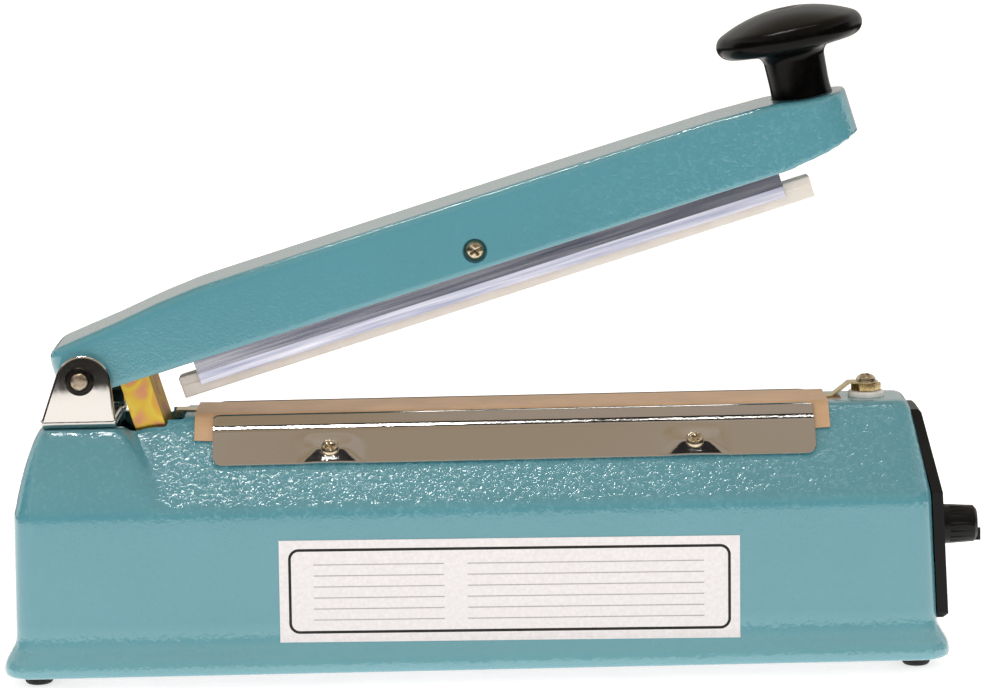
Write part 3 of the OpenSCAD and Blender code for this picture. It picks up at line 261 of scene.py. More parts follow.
# The label's middle and size in mm, and its turn on the wall in radians
LABEL_X, LABEL_Z, LABEL_LONG, LABEL_HIGH, LABEL_TURN = 4.0, 30.9, 148.0, 33.2, -0.0095


def printed_vinyl(name):
    """Printed vinyl label: satin white with a thin black frame and blank ruled lines."""
    corner, frame_line, far = 3.0, 0.9, 1000.0
    straight = (67.6, far, 10.4)
    pitch, first, ink = 3.6, 40.0, 0.55
    tree, shader, mm = start_material(name, Roughness=0.38, IOR=1.45)
    flat = put(tree, "Mapping", {"Vector": mm, "Location": (LABEL_X, 0.0, LABEL_Z),
                                 "Rotation": (0.0, -LABEL_TURN, 0.0)}, vector_type="TEXTURE")
    axes = put(tree, "SeparateXYZ", {"Vector": flat})
    # The frame follows a rectangle with round corners, 3 mm from the edge
    away = flat
    for operation, other in (("ABSOLUTE", None), ("SUBTRACT", straight), ("MAXIMUM", (0.0,) * 3)):
        inputs = {0: away, 1: other} if other else {0: away}
        away = put(tree, "VectorMath", inputs, operation=operation)
    ring = put(tree, "VectorMath", {0: away}, operation="LENGTH")
    # Ruled lines 3.6 mm apart in two columns
    row = put(tree, "Math", {0: axes.outputs["Z"], 1: 1 / pitch, 2: first / pitch}, operation="MULTIPLY_ADD")
    row = put(tree, "Math", {0: row}, operation="FRACT")
    edge, rule, rows, left, right = (
        put(tree, "Math", {0: value, 1: middle, 2: reach}, operation="COMPARE")
        for value, middle, reach in (
            (ring.outputs["Value"], corner, frame_line / 2), (row, 0.5, 0.05), (axes.outputs["Z"], 0.0, 9.6),
            (axes.outputs["X"], -42.0, 21.0), (axes.outputs["X"], 24.5, 38.0)))
    ruled = put(tree, "Math", {0: left, 1: right}, operation="ADD")
    for part in (rule, rows, ink):
        ruled = put(tree, "Math", {0: ruled, 1: part}, operation="MULTIPLY")
    grain = put(tree, "TexNoise", {"Vector": mm, "Scale": 0.8, "Detail": 2.0})
    paper = put(tree, "ValToRGB", {"Fac": grain}, stops=((0.35, "E6E2E4"), (0.7, "EFECEE")))
    inked = put(tree, "MixRGB", {"Fac": ruled, "Color1": paper, "Color2": srgb("4A4A50")})
    framed = put(tree, "MixRGB", {"Fac": edge, "Color1": inked, "Color2": srgb("111113")})
    bump = put(tree, "Bump", {"Height": grain, "Strength": 0.05, "Distance": 0.2 * MM})
    feed(shader, Base_Color=framed, Normal=bump)


# Every finish with what makes it; the comment says what the real one gives the eye
FINISHES = {
    "hammered_enamel": (hammered_enamel,),
    "chromed_steel": (chromed_steel,),
    "polished_phenolic": (polished_phenolic,),
    "passivated_zinc": (passivated_zinc,),
    "silicone_rubber": (silicone_rubber,),
    "coated_glass_cloth": (coated_glass_cloth,),
    "printed_vinyl": (printed_vinyl,),
    "red_lens": (red_lens,),
    # Rolled sheet, zinc plated: pale grey with slow clouds
    "zinc_plate": (plated_metal, "9A9C9E", "C9CBCC", 0.35, 4.0),
    # Nickelled screws gone warm: bright with a tan cast
    "nickel_screw": (plated_metal, "B7A68A", "EADDC4", 0.2, 1.5),
    # A pin with worn nickel: broad, soft shine
    "dull_nickel": (plated_metal, "9A8874", "DCCDB8", 0.42, 1.2),
    # Chromed push caps painted nearly black as a painted reflection of the dark in front, with a dull shine
    "blued_steel": (plated_metal, "24211F", "3B3835", 0.4, 1.5),
    # Rolled resistance ribbon: straw coloured, streaked along its length
    "nickel_chrome": (plated_metal, "C4AC80", "EEDDB4", 0.3, 2.0, (10.0, 1.0, 1.0)),
    # Brass gone pale in the air
    "tarnished_brass": (plated_metal, "B0945E", "E8D4A2", 0.24, 2.0),
    # Extruded and anodised bar: die lines along it, and a film that scatters a cold grey
    "extruded_aluminium": (plated_metal, "9CA2BC", "E6E6F2", 0.2, 1.2, (33.0, 1.0, 1.0), (0.0, -OPEN, 0.0),
                           0.8),
    # Drawn wire: grey and shiny
    "spring_wire": (plated_metal, "8E9093", "C4C6C8", 0.28, 1.0),
    # Stacked plates: dark, with fine lines through the stack
    "laminated_iron": (plated_metal, "4B4D50", "6E7175", 0.45, 0.6, (20.0, 1.0, 20.0)),
    # Wound wire: red brown, with lines round the coil
    "enamelled_copper": (plated_metal, "8A3F1C", "C06A35", 0.35, 0.8, (20.0, 20.0, 1.0)),
    # Moulded rubber: black and dull
    "moulded_rubber": (matt_solid, "101011", "1E1E1F", 0.62, 1.5),
    # Pressed fibre board: brown and dry
    "pressed_fibre": (matt_solid, "A98A62", "C2A47C", 0.7, 3.0),
    # Glazed ceramic: off-white with a clear shine
    "glazed_ceramic": (matt_solid, "DAD8D2", "ECEAE5", 0.18, 3.0),
    # Screen printed ink: white and level
    "white_ink": (matt_solid, "DADADA", "EDEDED", 0.5, 2.0),
    # Glass and epoxy board: green and satin
    "glass_epoxy": (matt_solid, "3E4A22", "56642E", 0.5, 3.0),
    # Moulded panel: black with a fine grain
    "moulded_abs": (grained_plastic, "070708", "101011", 0.4),
    # The timer's knob: the same black, handled to more shine
    "knob_abs": (grained_plastic, "09090A", "151516", 0.34),
    # Moulded nylon: milk white
    "nylon_post": (grained_plastic, "C9C7BE", "DCDAD2", 0.5),
    # Relay and capacitor cases: dark blue
    "relay_case": (grained_plastic, "1C2740", "2A3859", 0.4),
    # Switch case: black phenolic, satin
    "switch_case": (grained_plastic, "141416", "222226", 0.5),
}


def surface(name):
    """The finish of this name, made when it is first asked for."""
    if name not in bpy.data.materials:
        make, *values = FINISHES[name]
        make(name, *values)
    return bpy.data.materials[name]


# Modelling steps

def clear():
    """Goes to object mode with nothing selected."""
    if bpy.context.object and bpy.context.object.mode != "OBJECT":
        bpy.ops.object.mode_set(mode="OBJECT")
    bpy.ops.object.select_all(action="DESELECT")
    bpy.context.view_layer.objects.active = None


def pick(*objects):
    """Selects these objects only; the first is active."""
    clear()
    for obj in objects:
        obj.select_set(True)
    bpy.context.view_layer.objects.active = objects[0]


def edit(obj):
    """Opens one object in edit mode with all of it selected."""
    pick(obj)
    bpy.ops.object.mode_set(mode="EDIT")
    bpy.ops.mesh.select_all(action="SELECT")


def close():
    """Leaves edit mode."""
    bpy.ops.object.mode_set(mode="OBJECT")


def named(obj, name):
    """Names an object and its mesh."""
    obj.name = name
    obj.data.name = name
    return obj


def start(kind, name, **settings):
    """Adds a primitive, named and alone in the selection."""
    clear()
    getattr(bpy.ops.mesh, f"primitive_{kind}_add")(**settings)
    return named(bpy.context.object, name)


def settle(obj):
    """Applies the object's place to its mesh."""
    pick(obj)
    bpy.ops.object.transform_apply(location=True, rotation=True, scale=True)
    return obj


def modify(obj, kind, **settings):
    """Adds a modifier and applies it."""
    pick(obj)
    modifier = obj.modifiers.new(kind.lower(), kind)
    for key, value in settings.items():
        setattr(modifier, key, value)
    bpy.ops.object.modifier_apply(modifier=modifier.name)
    return obj


def shade(obj, angle=30):
    """Shades smooth except over sharp edges, angle in degrees."""
    pick(obj)
    bpy.ops.object.shade_smooth_by_angle(angle=math.radians(angle))
    return obj


def bevel(obj, width, segments, angle, **settings):
    """Rounds the edges that are sharper than an angle in degrees, width in mm."""
    return modify(obj, "BEVEL", width=width * MM, segments=segments, limit_method="ANGLE",
                  angle_limit=math.radians(angle), **settings)


def soften(obj, width, segments, angle=30, clamp=True):
    """Rounds the sharp edges, width in mm, and shades the flats flat and the rest smooth."""
    bevel(obj, width, segments, angle, use_clamp_overlap=clamp)
    return modify(shade(obj, angle), "WEIGHTED_NORMAL", weight=100, keep_sharp=True)


def tidy_mesh(obj):
    """Joins points that meet and turns the faces outwards."""
    edit(obj)
    bpy.ops.mesh.remove_doubles(threshold=0.005 * MM)
    bpy.ops.mesh.normals_make_consistent(inside=False)
    close()


def face_front(obj):
    """Turns an open sheet so that its faces look to the front."""
    tidy_mesh(obj)
    if obj.data.polygons[len(obj.data.polygons) // 2].normal.y > 0:
        obj.data.flip_normals()


def cut(obj, tool):
    """Cuts the tool's shape out of a piece and removes the tool."""
    modify(obj, "BOOLEAN", object=tool, operation="DIFFERENCE", solver="EXACT")
    bpy.data.objects.remove(tool)


def join(name, pieces):
    """Joins pieces into one object."""
    pick(*pieces)
    bpy.ops.object.join()
    return named(bpy.context.object, name)


def at(*spot):
    """A move to a place in mm."""
    return Matrix.Translation(Vector(spot) * MM)


def about(axis, angle):
    """A turn about an axis, angle in radians."""
    return Matrix.Rotation(angle, 4, axis)


def copied(obj, name, matrix):
    """A copy with its own mesh, moved by a matrix that is applied."""
    twin = obj.copy()
    twin.data = obj.data.copy()
    bpy.context.collection.objects.link(twin)
    twin.data.transform(matrix)
    if matrix.determinant() < 0:
        twin.data.flip_normals()
    return named(twin, name)


def repeated(model, name, places):
    """Copies of a model at each place, joined to one object; the model itself is removed."""
    copies = [copied(model, "copy", matrix) for matrix in places]
    bpy.data.objects.remove(model)
    return join(name, copies)


def node_copy(node, name, width, segments, angle):
    """A copy of a CAD node with its triangles joined to faces and its edges rounded, width in mm."""
    obj = copied(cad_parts[node], name, Matrix())
    obj.parent = None
    for key in [key for key in obj.keys() if key.startswith("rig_")]:
        del obj[key]
    obj.data.materials.clear()
    edit(obj)
    bpy.ops.mesh.remove_doubles(threshold=0.002 * MM)
    bpy.ops.mesh.dissolve_limited(angle_limit=math.radians(1.0))
    close()
    return soften(obj, width, segments, angle) if width else shade(obj, angle)


def turned(name, outline, matrix, steps=48):
    """A lathe piece: the outline of (radius, height) in mm is spun on Z, then placed by the matrix."""
    obj = start("plane", name, size=1)
    edit(obj)
    bpy.ops.mesh.delete(type="ONLY_FACE")
    bpy.ops.mesh.select_all(action="SELECT")
    bpy.ops.mesh.merge(type="CENTER")
    bpy.ops.transform.translate(value=(outline[0][0] * MM, 0, outline[0][1] * MM))
    for (r0, z0), (r1, z1) in zip(outline, outline[1:]):
        step = ((r1 - r0) * MM, 0, (z1 - z0) * MM)
        bpy.ops.mesh.extrude_vertices_move(TRANSFORM_OT_translate={"value": step})
    bpy.ops.mesh.select_all(action="SELECT")
    bpy.ops.mesh.spin(steps=steps, angle=math.tau, center=(0, 0, 0), axis=(0, 0, 1))
    bpy.ops.mesh.select_all(action="SELECT")
    bpy.ops.mesh.remove_doubles(threshold=0.002 * MM)
    bpy.ops.mesh.normals_make_consistent(inside=False)
    close()
    obj.data.transform(matrix)
    return obj


def arc(centre, radius, start_angle, end_angle, count):
    """Points of an arc in the outline's plane, angles in degrees from the radius axis."""
    turns = [math.radians(start_angle + (end_angle - start_angle) * i / count) for i in range(count + 1)]
    return [(centre[0] + radius * math.cos(a), centre[1] + radius * math.sin(a)) for a in turns]


def raised(name, levels, corner, segments=8):
    """A body drawn up through levels of (x0, x1, half width, z) in mm from a rectangle with round corners."""
    x0, x1, half, z = levels[0]
    middle = ((x0 + x1) / 2 * MM, 0, z * MM)
    obj = settle(start("plane", name, size=1, location=middle))
    edit(obj)
    bpy.ops.transform.resize(value=((x1 - x0) * MM, 2 * half * MM, 1), center_override=middle)
    bpy.ops.mesh.bevel(offset=corner * MM, segments=segments, affect="VERTICES")
    bpy.ops.mesh.select_all(action="SELECT")
    for (a0, a1, ah, az), (b0, b1, bh, bz) in zip(levels, levels[1:]):
        bpy.ops.mesh.extrude_region_move(TRANSFORM_OT_translate={"value": (0, 0, (bz - az) * MM)})
        middle = ((a0 + a1) / 2 * MM, 0, bz * MM)
        bpy.ops.transform.resize(value=((b1 - b0) / (a1 - a0), bh / ah, 1), center_override=middle)
        bpy.ops.transform.translate(value=((b0 + b1 - a0 - a1) / 2 * MM, 0, 0))
    bpy.ops.mesh.select_all(action="SELECT")
    bpy.ops.mesh.normals_make_consistent(inside=False)
    close()
    return obj


def slab(name, low, high, round_mm=0.0, segments=4):
    """A block between two corners in mm with its edges rounded, as a start or a cutting tool."""
    middle = (Vector(low) + Vector(high)) / 2 * MM
    obj = settle(start("cube", name, size=1, location=middle))
    edit(obj)
    bpy.ops.transform.resize(value=tuple((Vector(high) - Vector(low)) * MM), center_override=middle)
    if round_mm:
        bpy.ops.mesh.bevel(offset=round_mm * MM, segments=segments, affect="EDGES")
    close()
    return obj


def along(table, s):
    """Value at s from a table of (place, value), straight between its points."""
    for (s0, v0), (s1, v1) in zip(table, table[1:]):
        if s <= s1:
            t = min(1.0, max(0.0, (s - s0) / (s1 - s0)))
            return v0 + (v1 - v0) * t
    return table[-1][1]


def place(obj, body, slot, finish, *nodes):
    """Gives a finished piece its surface and its body, and hides the nodes that it stands for; the slot is
    not used.
    """
    obj.data.materials.clear()
    obj.data.materials.append(surface(finish))
    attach(obj, body)
    if nodes:
        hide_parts(*nodes)


def dress(node, name, body, slot, finish, width, segments=2, angle=30):
    """Puts a copy with rounded edges and a finished surface in the place of a CAD node."""
    place(node_copy(node, name, width, segments, angle), body, slot, finish, node)


def paint(finish, *nodes):
    """Gives CAD nodes that stay a finished surface."""
    for node in nodes:
        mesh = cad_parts[node].data
        mesh.materials.clear()
        mesh.materials.append(surface(finish))


# Sizes in mm that the pieces share with the frame

def mm_box(node):
    """A node's lowest and highest corners in mm."""
    low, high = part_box(node)
    return Vector(low) / MM, Vector(high) / MM


FOOT, TOP = mm_box("housing")
CLOTH_LOW, CLOTH_HIGH = mm_box("release_cloth")
BLOCK_Z = mm_box("hinge_bracket")[0].z
PIN_LOW, PIN_HIGH = mm_box("pivot_pin")
PIN = (PIN_LOW + PIN_HIGH) / 2
ON_ARM = at(*PIN) @ about("Y", -OPEN)
# The base: its foot's rim, its walls' flare and its start, the draw above it, and the walls' thickness
RIM, FLARE, FLARE_FOOT, DRAW, WALL = 2, 3.8, 3, 0.8, 2.6
FLARE_Z = mm_box("control_panel")[0].z
FLARE_STEPS, RIDGE_STEPS = 8, 5
# The crease between walls and roof
CREASE_Z = 58.0
CREASE_X0, CREASE_X1, CREASE_Y = FOOT.x + 4.6, TOP.x - 5.4, TOP.y - 4.6
# The trip leg's slot, and a height above everything that is cut from above
SLOT_X0, SLOT_X1, CLEAR_Z = PIN.x + 10.4, PIN.x + 32.9, 95
# The ridge, how far its right end is rounded in, the roof's slope, and where the ridge's rounding begins
RIDGE_HALF, RIDGE_R, RIDGE_X0, RIDGE_X1, RIDGE_END = 12.0, 4.6, SLOT_X1 - 11.5, TOP.x - 10.6, 1.8
ROOF = math.atan2(TOP.z - CREASE_Z, CREASE_Y - RIDGE_HALF)
EDGE_Y = RIDGE_HALF - RIDGE_R * math.tan(ROOF / 2)
# The hinge block: left end of its top, right foot and top from the pin, and half the top's width
BLOCK_X0, BLOCK_FOOT, BLOCK_TOP, BLOCK_HALF = PIN.x - 14.6, 30.5, 13.9, 21
# Its sides' bulge, and the share of its height above which it is rounded off
BULGE, ROUND_FROM = 3.6, 0.9
FLIP = Matrix.Scale(-1, 4, (0, 1, 0))


def wall_y(z):
    """Half width of the base's outside at a height, in mm."""
    if z < FLARE_Z:
        t = max(0.0, (z - FOOT.z - FLARE_FOOT) / (FLARE_Z - FOOT.z - FLARE_FOOT))
        return TOP.y - FLARE * t * t * (3 - 2 * t)
    return TOP.y - FLARE - DRAW * (z - FLARE_Z) / (CREASE_Z - FLARE_Z)


def roof_point(u, d):
    """A point (y, z) of the rear roof, u mm down from the ridge's corner and d mm out of its face."""
    return (RIDGE_HALF + u * math.cos(ROOF) + d * math.sin(ROOF),
            TOP.z - u * math.sin(ROOF) + d * math.cos(ROOF))


def on_roof(x, u, side, tilt):
    """A frame nearly square to the roof, Z pointing out; side -1 is the front."""
    y, z = roof_point(u, 0)
    return (FLIP if side > 0 else Matrix()) @ at(x, -y, z) @ about("X", ROOF + tilt)


def house_levels(inside):
    """Levels of the base from foot to ridge, drawn in by a wall."""
    levels = []
    if not inside:
        # The foot's outer edge is rounded off
        levels += [(FOOT.x + e, TOP.x - e, TOP.y - e, FOOT.z + up) for e, up in ((0.7, 0.0), (0.15, 0.6))]
    for i in range(FLARE_STEPS + 1):
        z = FOOT.z + RIM + (FLARE_Z - FOOT.z - RIM) * i / FLARE_STEPS
        draw = TOP.y - (wall_y(FLARE_Z) if inside else wall_y(z)) + inside
        levels.append((FOOT.x + draw, TOP.x - draw, TOP.y - draw, z))
    levels.append((CREASE_X0 + inside, CREASE_X1 - inside, CREASE_Y - inside, CREASE_Z - 0.35 * inside))
    r = max(RIDGE_R - inside, 0.3)
    for i in range(RIDGE_STEPS + 1):
        a = math.pi / 2 - ROOF * (1 - i / RIDGE_STEPS)
        z = TOP.z - RIDGE_R + r * math.sin(a)
        up = (z - CREASE_Z) / (TOP.z - CREASE_Z)
        left = CREASE_X0 + up * (RIDGE_X0 - CREASE_X0)
        right = CREASE_X1 + up * (RIDGE_X1 - CREASE_X1) - RIDGE_END * i / RIDGE_STEPS
        levels.append((left + inside, right - inside, EDGE_Y + r * math.cos(a), z))
    return levels


def block_levels(inside):
    """Levels of the hinge block that stands on the left of the roof, its sides bulged and its top rounded."""
    foot = PIN.x + BLOCK_FOOT
    levels = [(CREASE_X0 + 0.6 + inside, foot - 0.6 - inside, CREASE_Y - 0.5 - inside, CREASE_Z - 4 - inside)]
    for up in (0.0, 0.15, 0.3, 0.45, 0.6, 0.75, 0.88, 0.94, 0.98, 1.0):
        bulge = BULGE * up * (1 - up) - (6 * (up - ROUND_FROM) if up > ROUND_FROM else 0)
        levels.append((CREASE_X0 + 0.2 + up * (BLOCK_X0 - CREASE_X0) - bulge + inside,
                       foot + up * (BLOCK_TOP - BLOCK_FOOT) + bulge - inside,
                       CREASE_Y - 0.1 + up * (BLOCK_HALF - CREASE_Y) + bulge - inside,
                       CREASE_Z + up * (BLOCK_Z - CREASE_Z) - inside))
    return levels


class SealerFinish(bpy.types.PropertyGroup):
    """Colours and finishes that a user would change."""
    enamel: FloatVectorProperty(name="Enamel", description="Colour of the hammered enamel", subtype="COLOR",
                                size=3, min=0, max=1, default=srgb("5898A5")[:3])
    cloth: FloatVectorProperty(name="Cloth", description="Colour of the coated glass cloth", subtype="COLOR",
                               size=3, min=0, max=1, default=srgb("DAB086")[:3])
    casting: FloatProperty(name="Casting grain", description="Size of the cells that round the base's edges",
                           subtype="DISTANCE", unit="LENGTH", min=0.8 * MM, max=3 * MM, default=1.15 * MM)


class SealerSizes(bpy.types.PropertyGroup):
    """Sizes of details that the frame leaves to this script."""
    spring_turns: IntProperty(name="Spring turns", description="Turns of the return spring",
                              min=6, max=20, default=12)
    dimple: FloatProperty(name="Dimple", description="Depth of the dished screw seats, 1 is as photographed",
                          min=0.0, max=1.5, default=1.0)


class SEALER_OT_housing(bpy.types.Operator):
    """Casts the base: flared walls, creased roof, ridge and hinge block, with the leg's slot cut through."""
    bl_idname = "sealer.housing"
    bl_label = "Base casting"

    def execute(self, context):
        corner, inner_corner, seat_corner, slot_corner = 9, 7, 6.4, 1.2
        body = raised("base_casting", house_levels(0), corner)
        block = raised("hinge_block", block_levels(0), corner)
        body = join("base_casting", [body, block])
        modify(body, "REMESH", mode="VOXEL", voxel_size=context.scene.sealer_finish.casting, adaptivity=0)
        modify(body, "SMOOTH", factor=0.5, iterations=8)
        cut(body, raised("cavity", house_levels(WALL), inner_corner))
        cut(body, raised("block_cavity", block_levels(WALL), inner_corner))
        rim = (FOOT.x + WALL, TOP.x - WALL, TOP.y - WALL)
        cut(body, raised("plate_seat", [(*rim, FOOT.z - 2), (*rim, FOOT.z + 1.8)], seat_corner))
        for name, x0, x1, half in (("wide_slot", SLOT_X0, SLOT_X1 - 5.5, 14.5),
                                   ("neck_slot", SLOT_X0 + 1, SLOT_X1, 12.5)):
            cut(body, slab(name, (x0, -half, CREASE_Z), (x1, half, CLEAR_Z), slot_corner))
        low, high = mm_box("element_bed")
        gap = Vector((0.05, 0.05, 0.0))
        cut(body, slab("bed_groove", low - gap, (*(high + gap).xy, CLEAR_Z)))
        cut(body, slab("panel_window", (RIDGE_X1 - 10, -20, 24), (TOP.x + 10, 20, CREASE_Z - 4), 1.0))
        shade(body, 40)
        place(body, "base", "teal_paint", "hammered_enamel", "housing")
        return {"FINISHED"}


class SEALER_OT_feet(bpy.types.Operator):
    """Turns the rubber feet and finishes the bottom plate and its screws."""
    bl_idname = "sealer.feet"
    bl_label = "Feet and bottom plate"

    def execute(self, context):
        dress("bottom_plate", "bottom_sheet", "base", "zinc_sheet", "zinc_plate", 0.2)
        low, high = mm_box("rubber_feet")
        r, top, bore, seat, roll = 4.6, high.z, 1.65, 3.0, 1.4
        ring = [(bore, top), (bore, 2.6), (seat, 2.6), (seat, 0.15), (seat + 0.1, 0.0), (r - roll, 0.0)]
        ring += arc((r - roll, roll), roll, -80, 0, 7) + [(r, top - 0.3), (r - 0.25, top), (bore, top)]
        foot = turned("rubber_foot", ring, Matrix(), 64)
        corners = [at(x, y, 0) for x in (low.x + r, high.x - r) for y in (low.y + r, high.y - r)]
        feet = shade(repeated(foot, "turned_feet", corners), 35)
        place(feet, "base", "black_rubber", "moulded_rubber", "rubber_feet")
        paint("nickel_screw", "foot_screws")
        return {"FINISHED"}


class SEALER_OT_hinge(bpy.types.Operator):
    """Finishes the chromed hinge bracket, its rivets, the pin and its push-on caps."""
    bl_idname = "sealer.hinge"
    bl_label = "Hinge"

    def execute(self, context):
        bracket = soften(node_copy("hinge_bracket", "pressed_bracket", 0, 0, 30), 0.7, 3, 40, clamp=False)
        place(bracket, "base", "chrome_sheet", "chromed_steel", "hinge_bracket")
        low, high = mm_box("bracket_rivets")
        dome = [(0.0, 3.5), (1.0, 3.4), (2.0, 3.05), (2.8, 2.5), (3.05, 2.05), (1.9, 2.0), (1.9, -3.0),
                (0.0, -3.0)]
        spots = [at((low.x + high.x) / 2, y, BLOCK_Z) for y in (low.y + 3.2, high.y - 3.2)]
        rivets = shade(repeated(turned("rivet", dome, Matrix(), 32), "dome_rivets", spots), 40)
        place(rivets, "base", "chrome_sheet", "chromed_steel", "bracket_rivets")
        half = PIN_HIGH.y
        shaft = [(0.0, -half), (1.5, -half), (2.1, -half + 0.12), (2.6, -half + 0.5), (2.8, -half + 0.9)]
        shaft += [(r, -z) for r, z in reversed(shaft)]
        front, rear = (at(PIN.x, 0, PIN.z) @ about("X", side * math.pi / 2) for side in (1, -1))
        pin = shade(turned("hinge_pin", shaft, front), 40)
        place(pin, "base", "pin_brass", "dull_nickel", "pivot_pin")
        out, bore = mm_box("pivot_washers")[1].y, 2.85
        inner = out - 1.2
        cap = [(bore, inner), (4.8, inner), (4.75, inner + 0.35), (4.3, out - 0.25), (3.9, out),
               (3.1, out), (bore, out - 0.3), (bore, inner)]
        caps = shade(repeated(turned("push_cap", cap, Matrix()), "push_caps", (rear, front)), 40)
        # The push caps' near-black colour is a painted reflection of the dark room in front
        place(caps, "base", "chrome_sheet", "blued_steel", "pivot_washers")
        return {"FINISHED"}


# Clamp plates, in mm down from the ridge: upper edge, bend, lower edge and screws
CLAMP_TIP, CLAMP_BEND, CLAMP_END, CLAMP_SCREW = 0.8, 6.4, 19.6, 13.9
# Their sheet, its height over the roof at the upper edge, half the bend's length, and the corners' radius
CLAMP_T, PLATE_UP, BEND_R, CORNER = 0.7, 0.85, 1.5, 3.0
# Slope of the sheet against the roof, down from the ridge: lip, bead along the bend, face
SHEET = ((0.8, 0.035), (4.6, 0.035), (5.8, 0.126), (6.6, 0.126), (8.0, -0.055), (19.6, -0.055))
# Slope added below a screw, by its place in a fan that opens downwards
FAN = ((0.0, 0.181), (0.3, 0.181), (0.4, 0.158), (0.8, 0.15), (0.95, 0.1), (1.1, 0.03), (1.25, 0.0))
FAN_HALF, FAN_STEPS, SHEET_STEPS = 5, 16, 60
SEAL_X = (CLOTH_LOW.x + CLOTH_HIGH.x) / 2
SCREW_DX = 59
# The cloth: its middle's height over the roof, thickness, reach down each side, and steps on roof and ridge
CLOTH_OUT, CLOTH_T, CLOTH_RUN, ROOF_STEPS, BEND_STEPS = 0.55, 0.25, 10.0, 7, 8


def cross_head(name, radius, height, shank, length, matrix):
    """A pan head screw with a cross recess: head from z 0 up, shank below, in mm."""
    rim = 1.25
    outline = [(0.0, height)]
    outline += [(radius * math.sin(a), height - 0.55 * height * (1 - math.cos(a)) / (1 - math.cos(rim)))
                for a in (0.3, 0.6, 0.9, rim)]
    outline += [(radius, height * 0.3), (radius * 0.99, 0.0), (shank, 0.0), (shank, -length), (0.0, -length)]
    obj = turned(name, outline, Matrix(), 40)
    long, thin = radius * 0.58, radius * 0.17
    depth = height * 0.75
    for turn in (0, 1):
        tool = slab("recess", (-long, -thin, height - depth), (long, thin, height + 2), 0.12 * radius, 2)
        tool.data.transform(about("Z", turn * math.pi / 2 + 0.35))
        cut(obj, tool)
    shade(obj, 35)
    obj.data.transform(matrix)
    return obj


def dished(dx, u):
    """Depth in mm to which a screw pulls the clamp's sheet in, dx beside it and u down from the ridge."""
    step = (CLAMP_END - CLAMP_SCREW) / FAN_STEPS
    middles = [(i + 0.5) * step for i in range(FAN_STEPS)]
    slopes = [(CLAMP_SCREW + down, along(FAN, abs(dx) / (FAN_HALF + down))) for down in middles]
    whole = sum(slope for middle, slope in slopes) * step
    passed = sum(slope * min(step, max(0.0, u - middle + step / 2)) for middle, slope in slopes)
    above = min(1.0, max(0.0, CLAMP_SCREW - u) / (CLAMP_SCREW - CLAMP_BEND - BEND_R))
    return (whole / 2 - passed) * (1 - above * above * (3 - 2 * above))


def sheet_height(u):
    """Height in mm of the clamp's sheet over the roof, u down from the ridge and away from the screws."""
    step = (u - CLAMP_TIP) / SHEET_STEPS
    return PLATE_UP + step * sum(along(SHEET, CLAMP_TIP + (i + 0.5) * step) for i in range(SHEET_STEPS))


def cloth_path():
    """The cloth's run of (y, z) in mm, from its rear edge over the ridge to its front edge."""
    last = RIDGE_R * math.tan(ROOF / 2)
    path = [roof_point(CLOTH_RUN + (last - CLOTH_RUN) * k / ROOF_STEPS, CLOTH_OUT) for k in range(ROOF_STEPS)]
    r = RIDGE_R + CLOTH_OUT
    for i in range(1, BEND_STEPS + 1):
        a = math.pi / 2 - ROOF * (1 - i / BEND_STEPS)
        path.append((EDGE_Y + r * math.cos(a), TOP.z - RIDGE_R + r * math.sin(a)))
    return path + [(0.0, path[-1][1])] + [(-y, z) for y, z in reversed(path)]


class SEALER_OT_seal(bpy.types.Operator):
    """Finishes the bed and the ribbon, and lays the release cloth over the ridge."""
    bl_idname = "sealer.seal"
    bl_label = "Ribbon and release cloth"

    def execute(self, context):
        paint("pressed_fibre", "element_bed")
        dress("heating_element", "ribbon_and_lugs", "base", "ribbon", "nickel_chrome", 0.08, 1)
        path = cloth_path()
        reach = [0.0]
        for a, b in zip(path, path[1:]):
            reach.append(reach[-1] + math.dist(a, b))
        long = CLOTH_HIGH.x - CLOTH_LOW.x
        cloth = start("grid", "release_sheet", x_subdivisions=120, y_subdivisions=len(path) - 1, size=1)
        uv = cloth.data.uv_layers.active or cloth.data.uv_layers.new(name="UVMap")
        uv.name = "UVMap"
        flat = {}
        end, slack, lifted, curled = 0.06, 12, 0.1, 0.25
        for vertex in cloth.data.vertices:
            row = round((0.5 - vertex.co.y) * (len(path) - 1))
            x, (y, z) = vertex.co.x * long, path[row]
            flat[vertex.index] = (x, reach[row])
            # The sheet's ends stand off a little, most at its corners
            near_end = max(abs(vertex.co.x) * 2 - (1 - end), 0) / end
            near_edge = max(1 - min(reach[row], reach[-1] - reach[row]) / slack, 0)
            lift = curled * near_end * near_edge + lifted * near_end
            out = math.copysign(lift * math.sin(ROOF), y) if abs(y) > 1 else 0.0
            vertex.co = Vector((SEAL_X + x, y + out, z + lift)) * MM
        for loop in cloth.data.loops:
            uv.data[loop.index].uv = flat[loop.vertex_index]
        tidy_mesh(cloth)
        modify(cloth, "SOLIDIFY", thickness=CLOTH_T * MM, offset=0)
        shade(cloth, 40)
        place(cloth, "base", "cloth", "coated_glass_cloth", "release_cloth")
        return {"FINISHED"}


